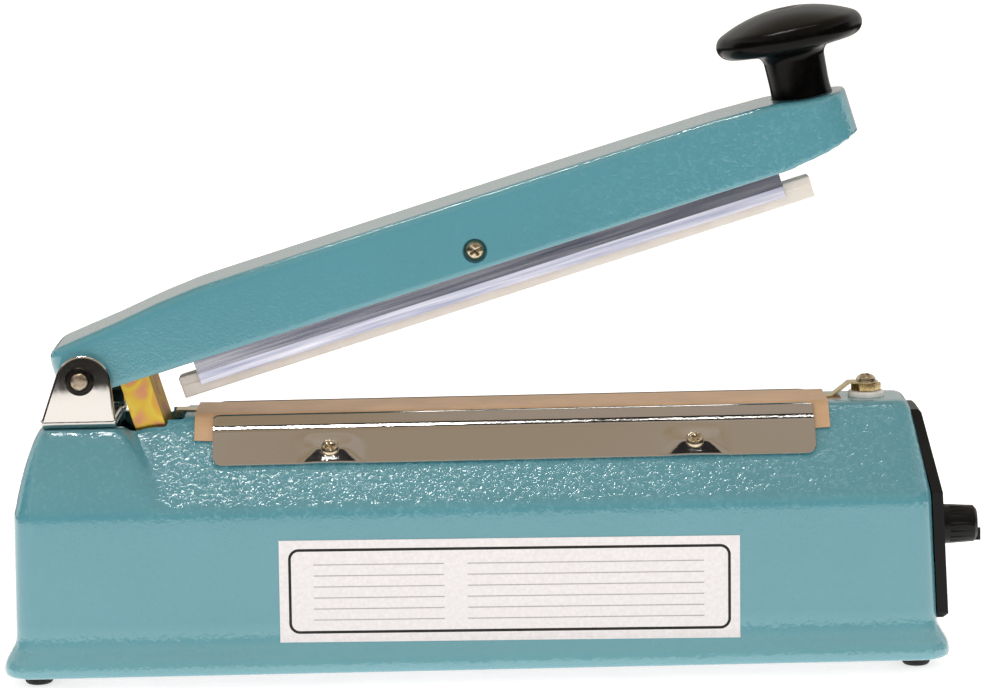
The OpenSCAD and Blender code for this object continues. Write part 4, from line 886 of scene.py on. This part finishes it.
class SEALER_OT_clamps(bpy.types.Operator):
    """Presses the chromed clamp plates with their dished screw seats, and screws them on."""
    bl_idname = "sealer.clamps"
    bl_label = "Cloth clamps"

    def execute(self, context):
        dimple = context.scene.sealer_sizes.dimple
        low, high = mm_box("cloth_clamp_front")
        shift = 0.55
        half = (high.x - low.x) / 2 - shift
        # Rows of points: lip, bend and face
        rows = [CLAMP_TIP + (CLAMP_BEND - BEND_R - CLAMP_TIP) * i / 6 for i in range(6)]
        rows += [CLAMP_BEND - BEND_R + 2 * BEND_R * i / 14 for i in range(14)]
        rows += [CLAMP_BEND + BEND_R + (CLAMP_END - CLAMP_BEND - BEND_R) * i / 24 for i in range(25)]
        plate = start("grid", "clamp_plate", x_subdivisions=240, y_subdivisions=len(rows) - 1, size=1)
        for vertex in plate.data.vertices:
            u = rows[round((vertex.co.y + 0.5) * (len(rows) - 1))]
            x = vertex.co.x * 2 * half + shift
            # Corners are rounded off at both edges
            drop = max(0.0, abs(x - shift) - half + CORNER)
            inset = CORNER - math.sqrt(max(0.0, CORNER * CORNER - drop * drop))
            u = min(max(u, CLAMP_TIP + 0.3 * inset), CLAMP_END - inset)
            # Each screw pulls a dish into the sheet, cut off by its lower edge
            pulled = sum(dished(x - screw, u) for screw in (-SCREW_DX, SCREW_DX))
            y, z = roof_point(u, sheet_height(u) - dimple * pulled)
            vertex.co = Vector((SEAL_X + x, -y, z)) * MM
        face_front(plate)
        modify(plate, "SOLIDIFY", thickness=CLAMP_T * MM, offset=1)
        shade(bevel(plate, 0.12, 2, 50), 50)
        rear = copied(plate, "clamp_plate_rear", FLIP)
        place(plate, "base", "chrome_sheet", "chromed_steel", "cloth_clamp_front")
        place(rear, "base", "chrome_sheet", "chromed_steel", "cloth_clamp_rear")
        seat = sheet_height(CLAMP_SCREW) + CLAMP_T - dimple * dished(0, CLAMP_SCREW)
        model = cross_head("clamp_screw", 2.9, 1.9, 1.5, 6.5, at(0, 0, seat))
        tilt = -math.atan(SHEET[-1][1])
        spots = [on_roof(SEAL_X + dx, CLAMP_SCREW, side, tilt) @ about("Z", turn)
                 for dx, turn in ((-SCREW_DX, 0.0), (SCREW_DX, 0.5)) for side in (-1, 1)]
        screws = repeated(model, "clamp_screw_set", spots)
        place(screws, "base", "screw_steel", "nickel_screw", "clamp_screws")
        return {"FINISHED"}


class SEALER_OT_terminal(bpy.types.Operator):
    """Builds the terminal at the ribbon's end: ceramic bush, brass nut and screw."""
    bl_idname = "sealer.terminal"
    bl_label = "Terminal"

    def execute(self, context):
        low, high = mm_box("terminal_bush")
        x, bore, neck, foot = (low.x + high.x) / 2, 2.05, 3.0, -3.6
        ring = [(bore, 1.8), (5.2, 1.8)] + arc((5.2, 1.0), 0.8, 90, 0, 5)
        ring += [(6.0, 0.05), (neck, 0.05), (neck, foot), (bore, foot), (bore, 1.8)]
        bush = shade(turned("ceramic_bush", ring, at(x, 0, TOP.z), 64), 35)
        place(bush, "base", "ceramic", "glazed_ceramic", "terminal_bush")
        dress("terminal_nut", "hex_nut", "base", "pin_brass", "tarnished_brass", 0.3)
        top, height = mm_box("terminal_screw")[1].z, 2.4
        post = cross_head("terminal_post", 3.2, height, 2.0, 12.3, at(x, 0, top - height))
        place(post, "base", "screw_steel", "nickel_screw", "terminal_screw")
        return {"FINISHED"}


TIMER_Z = (mm_box("timer_nut")[0].z + mm_box("timer_nut")[1].z) / 2
# The panel: its thickness, its gap to the wall, its lean below the crease and above it, and the lamp's height
PANEL_T, PANEL_GAP, PANEL_LEAN, LAMP_LEAN, LAMP_Z = 3.5, 0.05, 1.6, 5.2, 67.0
# Turns a piece that was made lying on Z so that its Z points out of the panel
FACE_OUT = Matrix(((0, 0, 1, 0), (1, 0, 0, 0), (0, 1, 0, 0), (0, 0, 0, 1)))
# The dial: how many figures, their radius, size and the ticks' radius, the first figure's place and the turn
FIGURES, FIGURE_R, FIGURE_SIZE, TICK_R, FIRST_AT, DIAL_TURN = 8, 15.2, 3.6, 11.4, 225, 270


def panel_x(z):
    """The panel's outer face at a height below the crease, in mm."""
    return TOP.x - FLARE + PANEL_GAP + PANEL_T - PANEL_LEAN * max(0.0, z - FLARE_Z) / (CREASE_Z - FLARE_Z)


def figure(text):
    """A printed figure, lying at the origin."""
    clear()
    bpy.ops.object.text_add()
    letters = bpy.context.object.data
    letters.body = text
    letters.size = FIGURE_SIZE * MM
    letters.extrude = 0.04 * MM
    letters.align_x = "CENTER"
    letters.align_y = "CENTER"
    bpy.ops.object.convert(target="MESH")
    return bpy.context.object


class SEALER_OT_label(bpy.types.Operator):
    """Sticks the blank label on the front wall, following the wall down over the flare."""
    bl_idname = "sealer.label"
    bl_label = "Label"

    def execute(self, context):
        label = start("grid", "front_label", x_subdivisions=24, y_subdivisions=24, size=1)
        thickness, off_wall = 0.25, 0.1
        for vertex in label.data.vertices:
            x, z = vertex.co.x * LABEL_LONG, vertex.co.y * LABEL_HIGH
            x, z = LABEL_X + x - z * LABEL_TURN, LABEL_Z + z + x * LABEL_TURN
            vertex.co = Vector((x, -wall_y(z) - off_wall, z)) * MM
        face_front(label)
        modify(label, "SOLIDIFY", thickness=thickness * MM, offset=0)
        shade(label, 40)
        place(label, "base", "ceramic", "printed_vinyl")
        return {"FINISHED"}


class SEALER_OT_panel(bpy.types.Operator):
    """Finishes the control panel: moulded face, screws, lamp, dial figures and the fluted timer knob."""
    bl_idname = "sealer.panel"
    bl_label = "Control panel"

    def execute(self, context):
        dress("control_panel", "panel_moulding", "base", "black_plastic", "moulded_abs", 0.7, 3)
        low, high = mm_box("panel_screws")
        r, height = 2.7, 1.3
        head = cross_head("panel_screw", r, height, 1.4, 8.0, Matrix())
        spots = [at(high.x - height, y, (low.z + high.z) / 2) @ FACE_OUT for y in (low.y + r, high.y - r)]
        screws = repeated(head, "panel_screw_set", spots)
        place(screws, "base", "screw_steel", "nickel_screw", "panel_screws")
        # The lamp's lens stands on a thin bezel, square to the panel's upper face
        tilt = math.atan2(LAMP_LEAN, TOP.z - CREASE_Z)
        x = CREASE_X1 + (RIDGE_X1 - CREASE_X1) * (LAMP_Z - CREASE_Z) / (TOP.z - CREASE_Z)
        stem, rear = 3.9, -8.0
        lens = [(0.0, 4.3), (1.5, 4.25), (2.9, 4.12), (3.9, 3.98), (4.6, 3.85), (4.78, 3.78), (4.78, 3.72),
                (stem, 3.7), (stem, rear), (0.0, rear)]
        lamp = turned("lamp_lens", lens, at(x, 0, LAMP_Z) @ about("Y", math.pi / 2 - tilt))
        place(shade(lamp, 35), "base", "lamp_red", "red_lens", "signal_lamp")
        dress("timer_nut", "timer_hex_nut", "base", "control_metal", "nickel_screw", 0.2)
        paint("nickel_screw", "timer_control", "timer_shaft")
        dress("timer_knob", "fluted_knob", "timer", "black_plastic", "knob_abs", 0.15, angle=35)
        # Figures 1 to 8 and a tick at each, printed round the dial
        marks = []
        for i in range(FIGURES):
            a = math.radians(FIRST_AT - DIAL_TURN * i / (FIGURES - 1))
            tick = slab("tick", (-0.9, -0.2, -0.05), (0.9, 0.2, 0.05))
            tick.data.transform(about("Z", a))
            for mark, far in ((figure(str(i + 1)), FIGURE_R), (tick, TICK_R)):
                y, z = far * math.cos(a), TIMER_Z + far * math.sin(a)
                mark.data.transform(at(panel_x(z) + 0.02, y, z) @ FACE_OUT)
                marks.append(mark)
        place(join("dial_figures", marks), "base", "ceramic", "white_ink")
        return {"FINISHED"}


class SEALER_OT_grommet(bpy.types.Operator):
    """Turns the rubber bush of the cord's inlet in the rear wall."""
    bl_idname = "sealer.grommet"
    bl_label = "Cord inlet"

    def execute(self, context):
        low, high = mm_box("cord_grommet")
        middle, half = (low + high) / 2, (high.y - low.y) / 2
        r, flange, neck, lip = 3.2, 6.7, 5.1, 1.7
        ring = [(r, -half + 0.4), (r + 0.4, -half), (flange - 0.6, -half), (flange, -half + 0.6),
                (flange, lip - half), (neck, lip - half), (neck, half - lip), (flange, half - lip),
                (flange, half - 0.6), (flange - 0.6, half), (r + 0.4, half), (r, half - 0.4),
                (r, -half + 0.4)]
        bush = turned("inlet_bush", ring, at(*middle) @ about("X", -math.pi / 2))
        place(shade(bush, 35), "base", "black_rubber", "moulded_rubber", "cord_grommet")
        return {"FINISHED"}


# The arm in its own frame: s runs along it from the hinge pin, heights are over the pin, in mm
ARM_L, ARM_HALF, ARM_WALL, ARM_TAIL, ARM_CELL, NOSE_R = 264.0, 17.0, 2.5, -8, 0.8, 14
# Its upper and lower edges in side view, as (s, height)
ARM_TOP = ((-8, 8), (-7.8, 9.3), (-7.2, 10.6), (-6.2, 11.5), (-4.8, 12), (-2, 12.3), (2, 12.7), (16, 14),
           (31, 15.9), (45, 17), (158.4, 17.3), (220, 17), (240, 16.1), (250, 14), (264, 12.8))
ARM_LOW = ((-8, -2), (-5, -6), (6, -6), (238, -6), (244, -5.2), (251, -4.4), (258, -3), (264, -1.6))
# The cross screw, and the holes' reach past the arm's sides
SCREW_S, SCREW_H, PAST = 134.4, 0.6, 20
AT_KNOB = at(250.25, 0, 13.5) @ about("Y", math.radians(5.5))
UP_TO_LONG = Matrix(((0, 0, 1, 0), (0, -1, 0, 0), (1, 0, 0, 0), (0, 0, 0, 1)))
CROSS = about("X", math.pi / 2)


def arm_half(s):
    """Half width of the arm at s: round at the nose and a little at the tail."""
    nose = max(0.0, s - ARM_L + NOSE_R) / NOSE_R
    tail = max(0.0, -s - 4)
    return ARM_HALF - NOSE_R * (1 - math.sqrt(max(0.0, 1 - nose * nose / 1.02))) - tail * tail / 4


def arm_levels(wall, first, last, drop):
    """Sections of the arm as levels along it, closer at its ends: lower edge, top, half width and place."""
    places = [first + (last - first) * (i / 70) ** 1.5 for i in range(60)]
    places += [last - (last - places[-1]) * (1 - i / 16) ** 1.7 for i in range(1, 17)]
    return [(along(ARM_LOW, s) - drop, along(ARM_TOP, s) - wall, max(arm_half(s) - wall, 1.0), s)
            for s in places]


def arm_bar(name, r, y0, y1, s, h):
    """A round bar across the arm between two widths."""
    return turned(name, [(0.0, y0), (r, y0), (r, y1), (0.0, y1)], at(s, 0, h) @ CROSS.inverted())


class SEALER_OT_arm(bpy.types.Operator):
    """Casts the arm: a long hollow section with a round nose, a hub on the pin and bosses inside."""
    bl_idname = "sealer.arm"
    bl_label = "Arm casting"

    def execute(self, context):
        body = raised("arm_casting", arm_levels(0, ARM_TAIL, ARM_L, 6), 1.4, 4)
        below = [(-40, low, 30, s) for s, low in ((-12, -2),) + ARM_LOW + ((268, -1.2),)]
        cut(body, raised("below", below, 0.5, 1))
        cut(body, raised("hollow", arm_levels(ARM_WALL, -5, ARM_L - 4, 14), 1.2, 3))
        body.data.transform(UP_TO_LONG)
        parts = [body, arm_bar("hub", 7.2, -17.7, 17.7, 0, 0)]
        parts += [arm_bar("boss", 6, y0, y1, SCREW_S, SCREW_H) for y0, y1 in ((10, 16.5), (-16.5, -10))]
        parts.append(slab("leg_lug", (11.4, -10.7, -2), (19.1, 10.7, 13), 0.8))
        parts.append(turned("knob_boss", [(0, -4.4), (6, -4.4), (6, -0.6), (0, -0.6)], AT_KNOB))
        body = join("arm_casting", parts)
        modify(body, "REMESH", mode="VOXEL", voxel_size=ARM_CELL * MM, adaptivity=0)
        modify(body, "SMOOTH", factor=0.5, iterations=6)
        for name, r, y0, y1 in (("front_recess", 4, -PAST, -14.6), ("rear_recess", 4, 14.6, PAST),
                                ("screw_hole", 2.05, -PAST, PAST)):
            cut(body, arm_bar(name, r, y0, y1, SCREW_S, SCREW_H))
        cut(body, arm_bar("pin_hole", 2.85, -PAST, PAST, 0, 0))
        cut(body, turned("knob_seat", [(0, 0), (10.1, 0), (10.1, 8), (0, 8)], AT_KNOB, 64))
        body.data.transform(ON_ARM)
        shade(body, 40)
        place(body, "arm", "teal_paint", "hammered_enamel", "arm")
        return {"FINISHED"}


class SEALER_OT_knob(bpy.types.Operator):
    """Turns the phenolic press knob: waisted stem, wide cap with a rolled rim and a shallow dimple."""
    bl_idname = "sealer.knob"
    bl_label = "Press knob"

    def execute(self, context):
        height, dome, bore, neck = 30.0, 47.75, 2.05, 15.4
        outline = [(0.0, height - 0.95), (1.6, height - 0.9), (3.2, height - 0.72), (4.4, height - 0.48)]
        outline += [(r, height - dome + math.sqrt(dome ** 2 - r * r))
                    for r in (5.6, 7.5, 10, 13, 16, 18.5, 20.5)]
        outline += arc((19.9, 21.1), 4.1, 62.9, -78, 16)
        outline += [(18.5, 16.85), (16.5, 16.55), (14.8, 16.25)] + arc((13.4, 12.7), 3.5, 80, 176, 9)
        outline += [(9.75, 8.5), (9.65, 5.5), (9.7, 3.0), (9.85, 1.4), (10.0, 0.6), (9.9, 0.1), (bore, 0.1),
                    (bore, neck), (0.0, neck)]
        knob = bevel(turned("mushroom_knob", outline, Matrix(), 96), 0.25, 2, 35)
        knob.data.transform(ON_ARM @ AT_KNOB)
        shade(knob, 40)
        place(knob, "arm", "knob_plastic", "polished_phenolic", "press_knob")
        paint("nickel_screw", "knob_screw")
        return {"FINISHED"}


class SEALER_OT_jaw(bpy.types.Operator):
    """Finishes the extruded pressing bar, its silicone strip, the cross screw, nut and spacers."""
    bl_idname = "sealer.jaw"
    bl_label = "Pressing bar"

    def execute(self, context):
        dress("pressing_bar", "extruded_bar", "bar", "bar_aluminium", "extruded_aluminium", 0.25)
        dress("silicone_strip", "moulded_strip", "bar", "silicone", "silicone_rubber", 0.5, 3)
        face = ON_ARM @ at(SCREW_S, -ARM_HALF + 2.4, SCREW_H) @ CROSS
        screw = cross_head("arm_cross_screw", 3.4, 2.2, 2.0, 31.4, face)
        place(screw, "arm", "screw_steel", "nickel_screw", "cross_screw")
        dress("cross_nut", "arm_hex_nut", "arm", "screw_steel", "nickel_screw", 0.25)
        paint("zinc_plate", "bar_spacers")
        return {"FINISHED"}


class SEALER_OT_leg(bpy.types.Operator):
    """Finishes the plated trip leg with its rivet, and winds the return spring."""
    bl_idname = "sealer.leg"
    bl_label = "Trip leg and spring"

    def execute(self, context):
        dress("trip_leg", "plated_leg", "arm", "yellow_zinc", "passivated_zinc", 0.3)
        dress("leg_rivet", "leg_rivet_turned", "arm", "screw_steel", "zinc_plate", 0.25)
        low, high = mm_box("return_spring")
        turns = context.scene.sealer_sizes.spring_turns
        wire_r, tail, steps = 0.5, 6.0, turns * 20
        x0, x1, z = low.x + wire_r, high.x - wire_r, (low.z + high.z) / 2
        radius = (high.z - low.z) / 2 - wire_r
        points = [(x0, 0, z), (x0 + tail * 0.5, 0, z)]
        for i in range(steps + 1):
            t = i / steps
            r = radius * min(1.0, min(t, 1 - t) * turns)
            a = math.tau * turns * t
            points.append((x0 + tail + (x1 - x0 - 2 * tail) * t, r * math.cos(a), z + r * math.sin(a)))
        points += [(x1 - tail * 0.5, 0, z), (x1, 0, z)]
        clear()
        bpy.ops.curve.primitive_nurbs_path_add()
        wire = bpy.context.object
        wire.data.splines.clear()
        spline = wire.data.splines.new("POLY")
        spline.points.add(len(points) - 1)
        for point, spot in zip(spline.points, points):
            point.co = (*(c * MM for c in spot), 1)
        wire.data.bevel_depth = wire_r * MM
        wire.data.bevel_resolution = 2
        wire.data.use_fill_caps = True
        pick(wire)
        bpy.ops.object.convert(target="MESH")
        spring = shade(named(bpy.context.object, "wound_spring"), 60)
        spring.data.materials.append(surface("spring_wire"))
        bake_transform(spring)
        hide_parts("return_spring")
        return {"FINISHED"}


class SEALER_OT_inside(bpy.types.Operator):
    """Gives the parts inside the base their own finishes."""
    bl_idname = "sealer.inside"
    bl_label = "Inside"

    def execute(self, context):
        paint("glass_epoxy", "circuit_board")
        paint("nylon_post", "board_posts")
        paint("relay_case", "board_components")
        paint("laminated_iron", "transformer_core")
        paint("enamelled_copper", "transformer_coil")
        paint("zinc_plate", "transformer_strap", "transformer_screws", "switch_bracket", "switch_screws",
              "spring_anchor")
        paint("switch_case", "micro_switch")
        paint("spring_wire", "switch_lever")
        return {"FINISHED"}


# The stage, in m
BLACK, WHITE, LAMP_LIGHT = (0.0, 0.0, 0.0, 1.0), (1.0, 1.0, 1.0, 1.0), (1.0, 0.98, 0.95, 1.0)
CARD_SURFACES = {
    # Flock cloth: takes nearly all light
    "black_flock": {"Roughness": 1.0, "Base_Color": (0.012, 0.012, 0.013, 1.0)},
    # The room's wall: warm, brighter towards the ceiling
    "grey_room": {"Base_Color": BLACK, "Emission_Color": (0.98, 0.85, 0.7, 1.0)},
    # Strip lamp: bright over the left half, much weaker over the right
    "strip_lamp": {"Emission_Color": LAMP_LIGHT, "Emission_Strength": 43.0},
    "strip_lamp_end": {"Emission_Color": LAMP_LIGHT, "Emission_Strength": 9.0},
    # A pale wall behind
    "pale_rear": {"Base_Color": BLACK, "Emission_Color": (1.0, 0.98, 0.92, 1.0), "Emission_Strength": 0.55},
}
UPRIGHT, SIDEWAYS, DOWN = (math.pi / 2, 0, 0), (math.pi / 2, 0, math.pi / 2), (math.pi, 0, 0)
# Cards that show only in reflections: name, middle, size, turn and surface
CARDS = (
    ("dark_front", (0, -1.6, 0.2), (5.0, 0.4), UPRIGHT, "black_flock"),
    ("room_front", (0, -1.6, 1.15), (5.0, 1.5), UPRIGHT, "grey_room"),
    ("lamp_hood", (-0.15, -0.06, 1.36), (1.3, 0.38), DOWN, "black_flock"),
    ("dark_left", (-2.0, -0.5, 0.6), (2.2, 1.2), SIDEWAYS, "black_flock"),
    ("dark_right", (2.0, -0.5, 0.6), (2.2, 1.2), SIDEWAYS, "black_flock"),
    ("pale_rear", (0, 2.2, 0.66), (6.0, 1.3), UPRIGHT, "pale_rear"),
    ("strip_overhead", (-0.285, -0.08, 1.35), (0.51, 0.07), DOWN, "strip_lamp"),
    ("strip_end", (0.2, -0.08, 1.35), (0.46, 0.05), DOWN, "strip_lamp_end"),
)
# The dark ring round the table: half its width, and half the table's
RING_REACH, TABLE_EDGE = 4.0, 0.59
# Soft lights: name, place, target, size and power in W
SOFTBOXES = (
    ("front_softbox", (-0.5, -1.5, 0.9), (0, 0, 0.06), 1.1, 3.0),
    ("top_softbox", (0, -0.3, 1.6), (0, 0, 0.1), 1.0, 2.5),
    ("rear_softbox", (0.1, 1.2, 1.0), (0, 0, 0.1), 1.0, 3.0),
)
# The camera stands 1.2 m in front, looks 8.7 degrees down and is rolled by 1.25 degrees
EYE, TARGET, ROLL = (0, -1.2, 0.2881), (0, 0, 0.1051), math.radians(1.25)
# Its sensor in mm, and its focal length and width in pixels of the photograph
SENSOR, FOCAL_PX, WIDTH_PX = 36.0, 3702.0, 984.0


def aimed(spot, target):
    """A frame at a spot whose -Z looks at a target."""
    turn = (Vector(target) - Vector(spot)).to_track_quat("-Z", "Y")
    return Matrix.Translation(spot) @ turn.to_matrix().to_4x4()


def studio_world():
    """White round the horizon, and a warm grey ceiling with paler patches overhead."""
    world = bpy.data.worlds.new("studio")
    world.use_nodes = True
    tree = world.node_tree
    ray = put(tree, "TexCoord").outputs["Generated"]
    height = put(tree, "SeparateXYZ", {"Vector": ray}).outputs["Z"]
    sky = put(tree, "ValToRGB", {"Fac": height}, stops=(
        (0.0, WHITE), (0.45, (0.98, 0.97, 0.96, 1.0)), (0.72, (0.53, 0.46, 0.37, 1.0)),
        (1.0, (0.45, 0.38, 0.3, 1.0))))
    patch = put(tree, "TexNoise", {"Vector": ray, "Scale": 7.0, "Detail": 1.0})
    stain = put(tree, "ValToRGB", {"Fac": patch}, stops=(
        (0.38, (0.85, 0.78, 0.66, 1.0)), (0.62, (1.0, 1.0, 1.04, 1.0))))
    overhead = put(tree, "MapRange", {"Value": height, "From Min": 0.6, "From Max": 0.85})
    ceiling = put(tree, "MixRGB", {"Fac": overhead, "Color1": sky, "Color2": stain}, blend_type="MULTIPLY")
    feed(tree.nodes["Background"], Color=ceiling, Strength=0.95)
    return world


class SEALER_OT_stage(bpy.types.Operator):
    """Sets the pale floor, the soft studio light and the camera at the photograph's angle."""
    bl_idname = "sealer.stage"
    bl_label = "Stage"

    def execute(self, context):
        scene = context.scene
        scene.view_settings.view_transform = "Standard"
        scene.world = studio_world()
        made = {name: start_material(name, **inputs) for name, inputs in CARD_SURFACES.items()}
        tree, shader, mm = made["grey_room"]
        height = put(tree, "SeparateXYZ", {"Vector": mm}).outputs["Z"]
        rise = put(tree, "MapRange", {"Value": height, "From Min": 400.0, "From Max": 1900.0,
                                      "To Min": 0.12, "To Max": 0.52})
        feed(shader, Emission_Strength=rise)
        # Lit paper under the sealer: white, with the faintest drift of tone
        drifting("studio_paper", 0.02, 2.0, ((0.3, "F2F2F2"), (0.7, "F6F6F6")), Roughness=0.9,
                 Emission_Color=WHITE, Emission_Strength=0.6)
        floor = settle(start("plane", "studio_floor", size=8.0))
        floor.data.materials.append(bpy.data.materials["studio_paper"])
        ring = settle(start("plane", "dark_floor", size=2 * RING_REACH, location=(0, 0, 0.002)))
        edit(ring)
        bpy.ops.mesh.inset(thickness=RING_REACH - TABLE_EDGE)
        bpy.ops.mesh.delete(type="FACE")
        close()
        cards = [(ring, "black_flock")]
        for name, spot, size, turn, finish in CARDS:
            card = start("plane", name, size=1.0, location=spot, rotation=turn)
            card.scale = (*size, 1.0)
            cards.append((settle(card), finish))
        for card, finish in cards:
            card.data.materials.append(bpy.data.materials[finish])
            for ray in ("camera", "diffuse", "shadow", "transmission"):
                setattr(card, f"visible_{ray}", False)
        for name, spot, target, size, power in SOFTBOXES:
            clear()
            bpy.ops.object.light_add(type="AREA")
            lamp = bpy.context.object
            lamp.name = name
            lamp.matrix_world = aimed(spot, target)
            lamp.data.size = size
            lamp.data.energy = power
            lamp.visible_glossy = False
        clear()
        bpy.ops.object.camera_add()
        camera = bpy.context.object
        camera.matrix_world = aimed(EYE, TARGET) @ about("Z", -ROLL)
        camera.data.sensor_width = SENSOR
        camera.data.lens = SENSOR * FOCAL_PX / WIDTH_PX
        camera.data.clip_end = 50.0
        scene.camera = camera
        return {"FINISHED"}


STEPS = (SEALER_OT_housing, SEALER_OT_feet, SEALER_OT_hinge, SEALER_OT_seal, SEALER_OT_clamps,
         SEALER_OT_terminal, SEALER_OT_label, SEALER_OT_panel, SEALER_OT_grommet, SEALER_OT_arm,
         SEALER_OT_knob, SEALER_OT_jaw, SEALER_OT_leg, SEALER_OT_inside, SEALER_OT_stage)


class SEALER_PT_steps(bpy.types.Panel):
    """Lists the finishes, the sizes and the steps."""
    bl_idname = "SEALER_PT_steps"
    bl_label = "Hand Impulse Sealer"
    bl_space_type = "VIEW_3D"
    bl_region_type = "UI"
    bl_category = "Sealer"

    def draw(self, context):
        for group in (context.scene.sealer_finish, context.scene.sealer_sizes):
            for name in group.bl_rna.properties.keys():
                if name not in {"rna_type", "name"}:
                    self.layout.prop(group, name)
        for step in STEPS:
            self.layout.operator(step.bl_idname)


CLASSES = (SealerFinish, SealerSizes) + STEPS + (SEALER_PT_steps,)


def register():
    for item in CLASSES:
        bpy.utils.register_class(item)
    bpy.types.Scene.sealer_finish = PointerProperty(type=SealerFinish)
    bpy.types.Scene.sealer_sizes = PointerProperty(type=SealerSizes)


def unregister():
    del bpy.types.Scene.sealer_sizes
    del bpy.types.Scene.sealer_finish
    for item in reversed(CLASSES):
        bpy.utils.unregister_class(item)


def main():
    """Registers the add-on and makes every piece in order."""
    register()
    for step in STEPS:
        getattr(bpy.ops.sealer, step.bl_idname.split(".")[1])()
    clear()


if __name__ == "__main__":
    main()
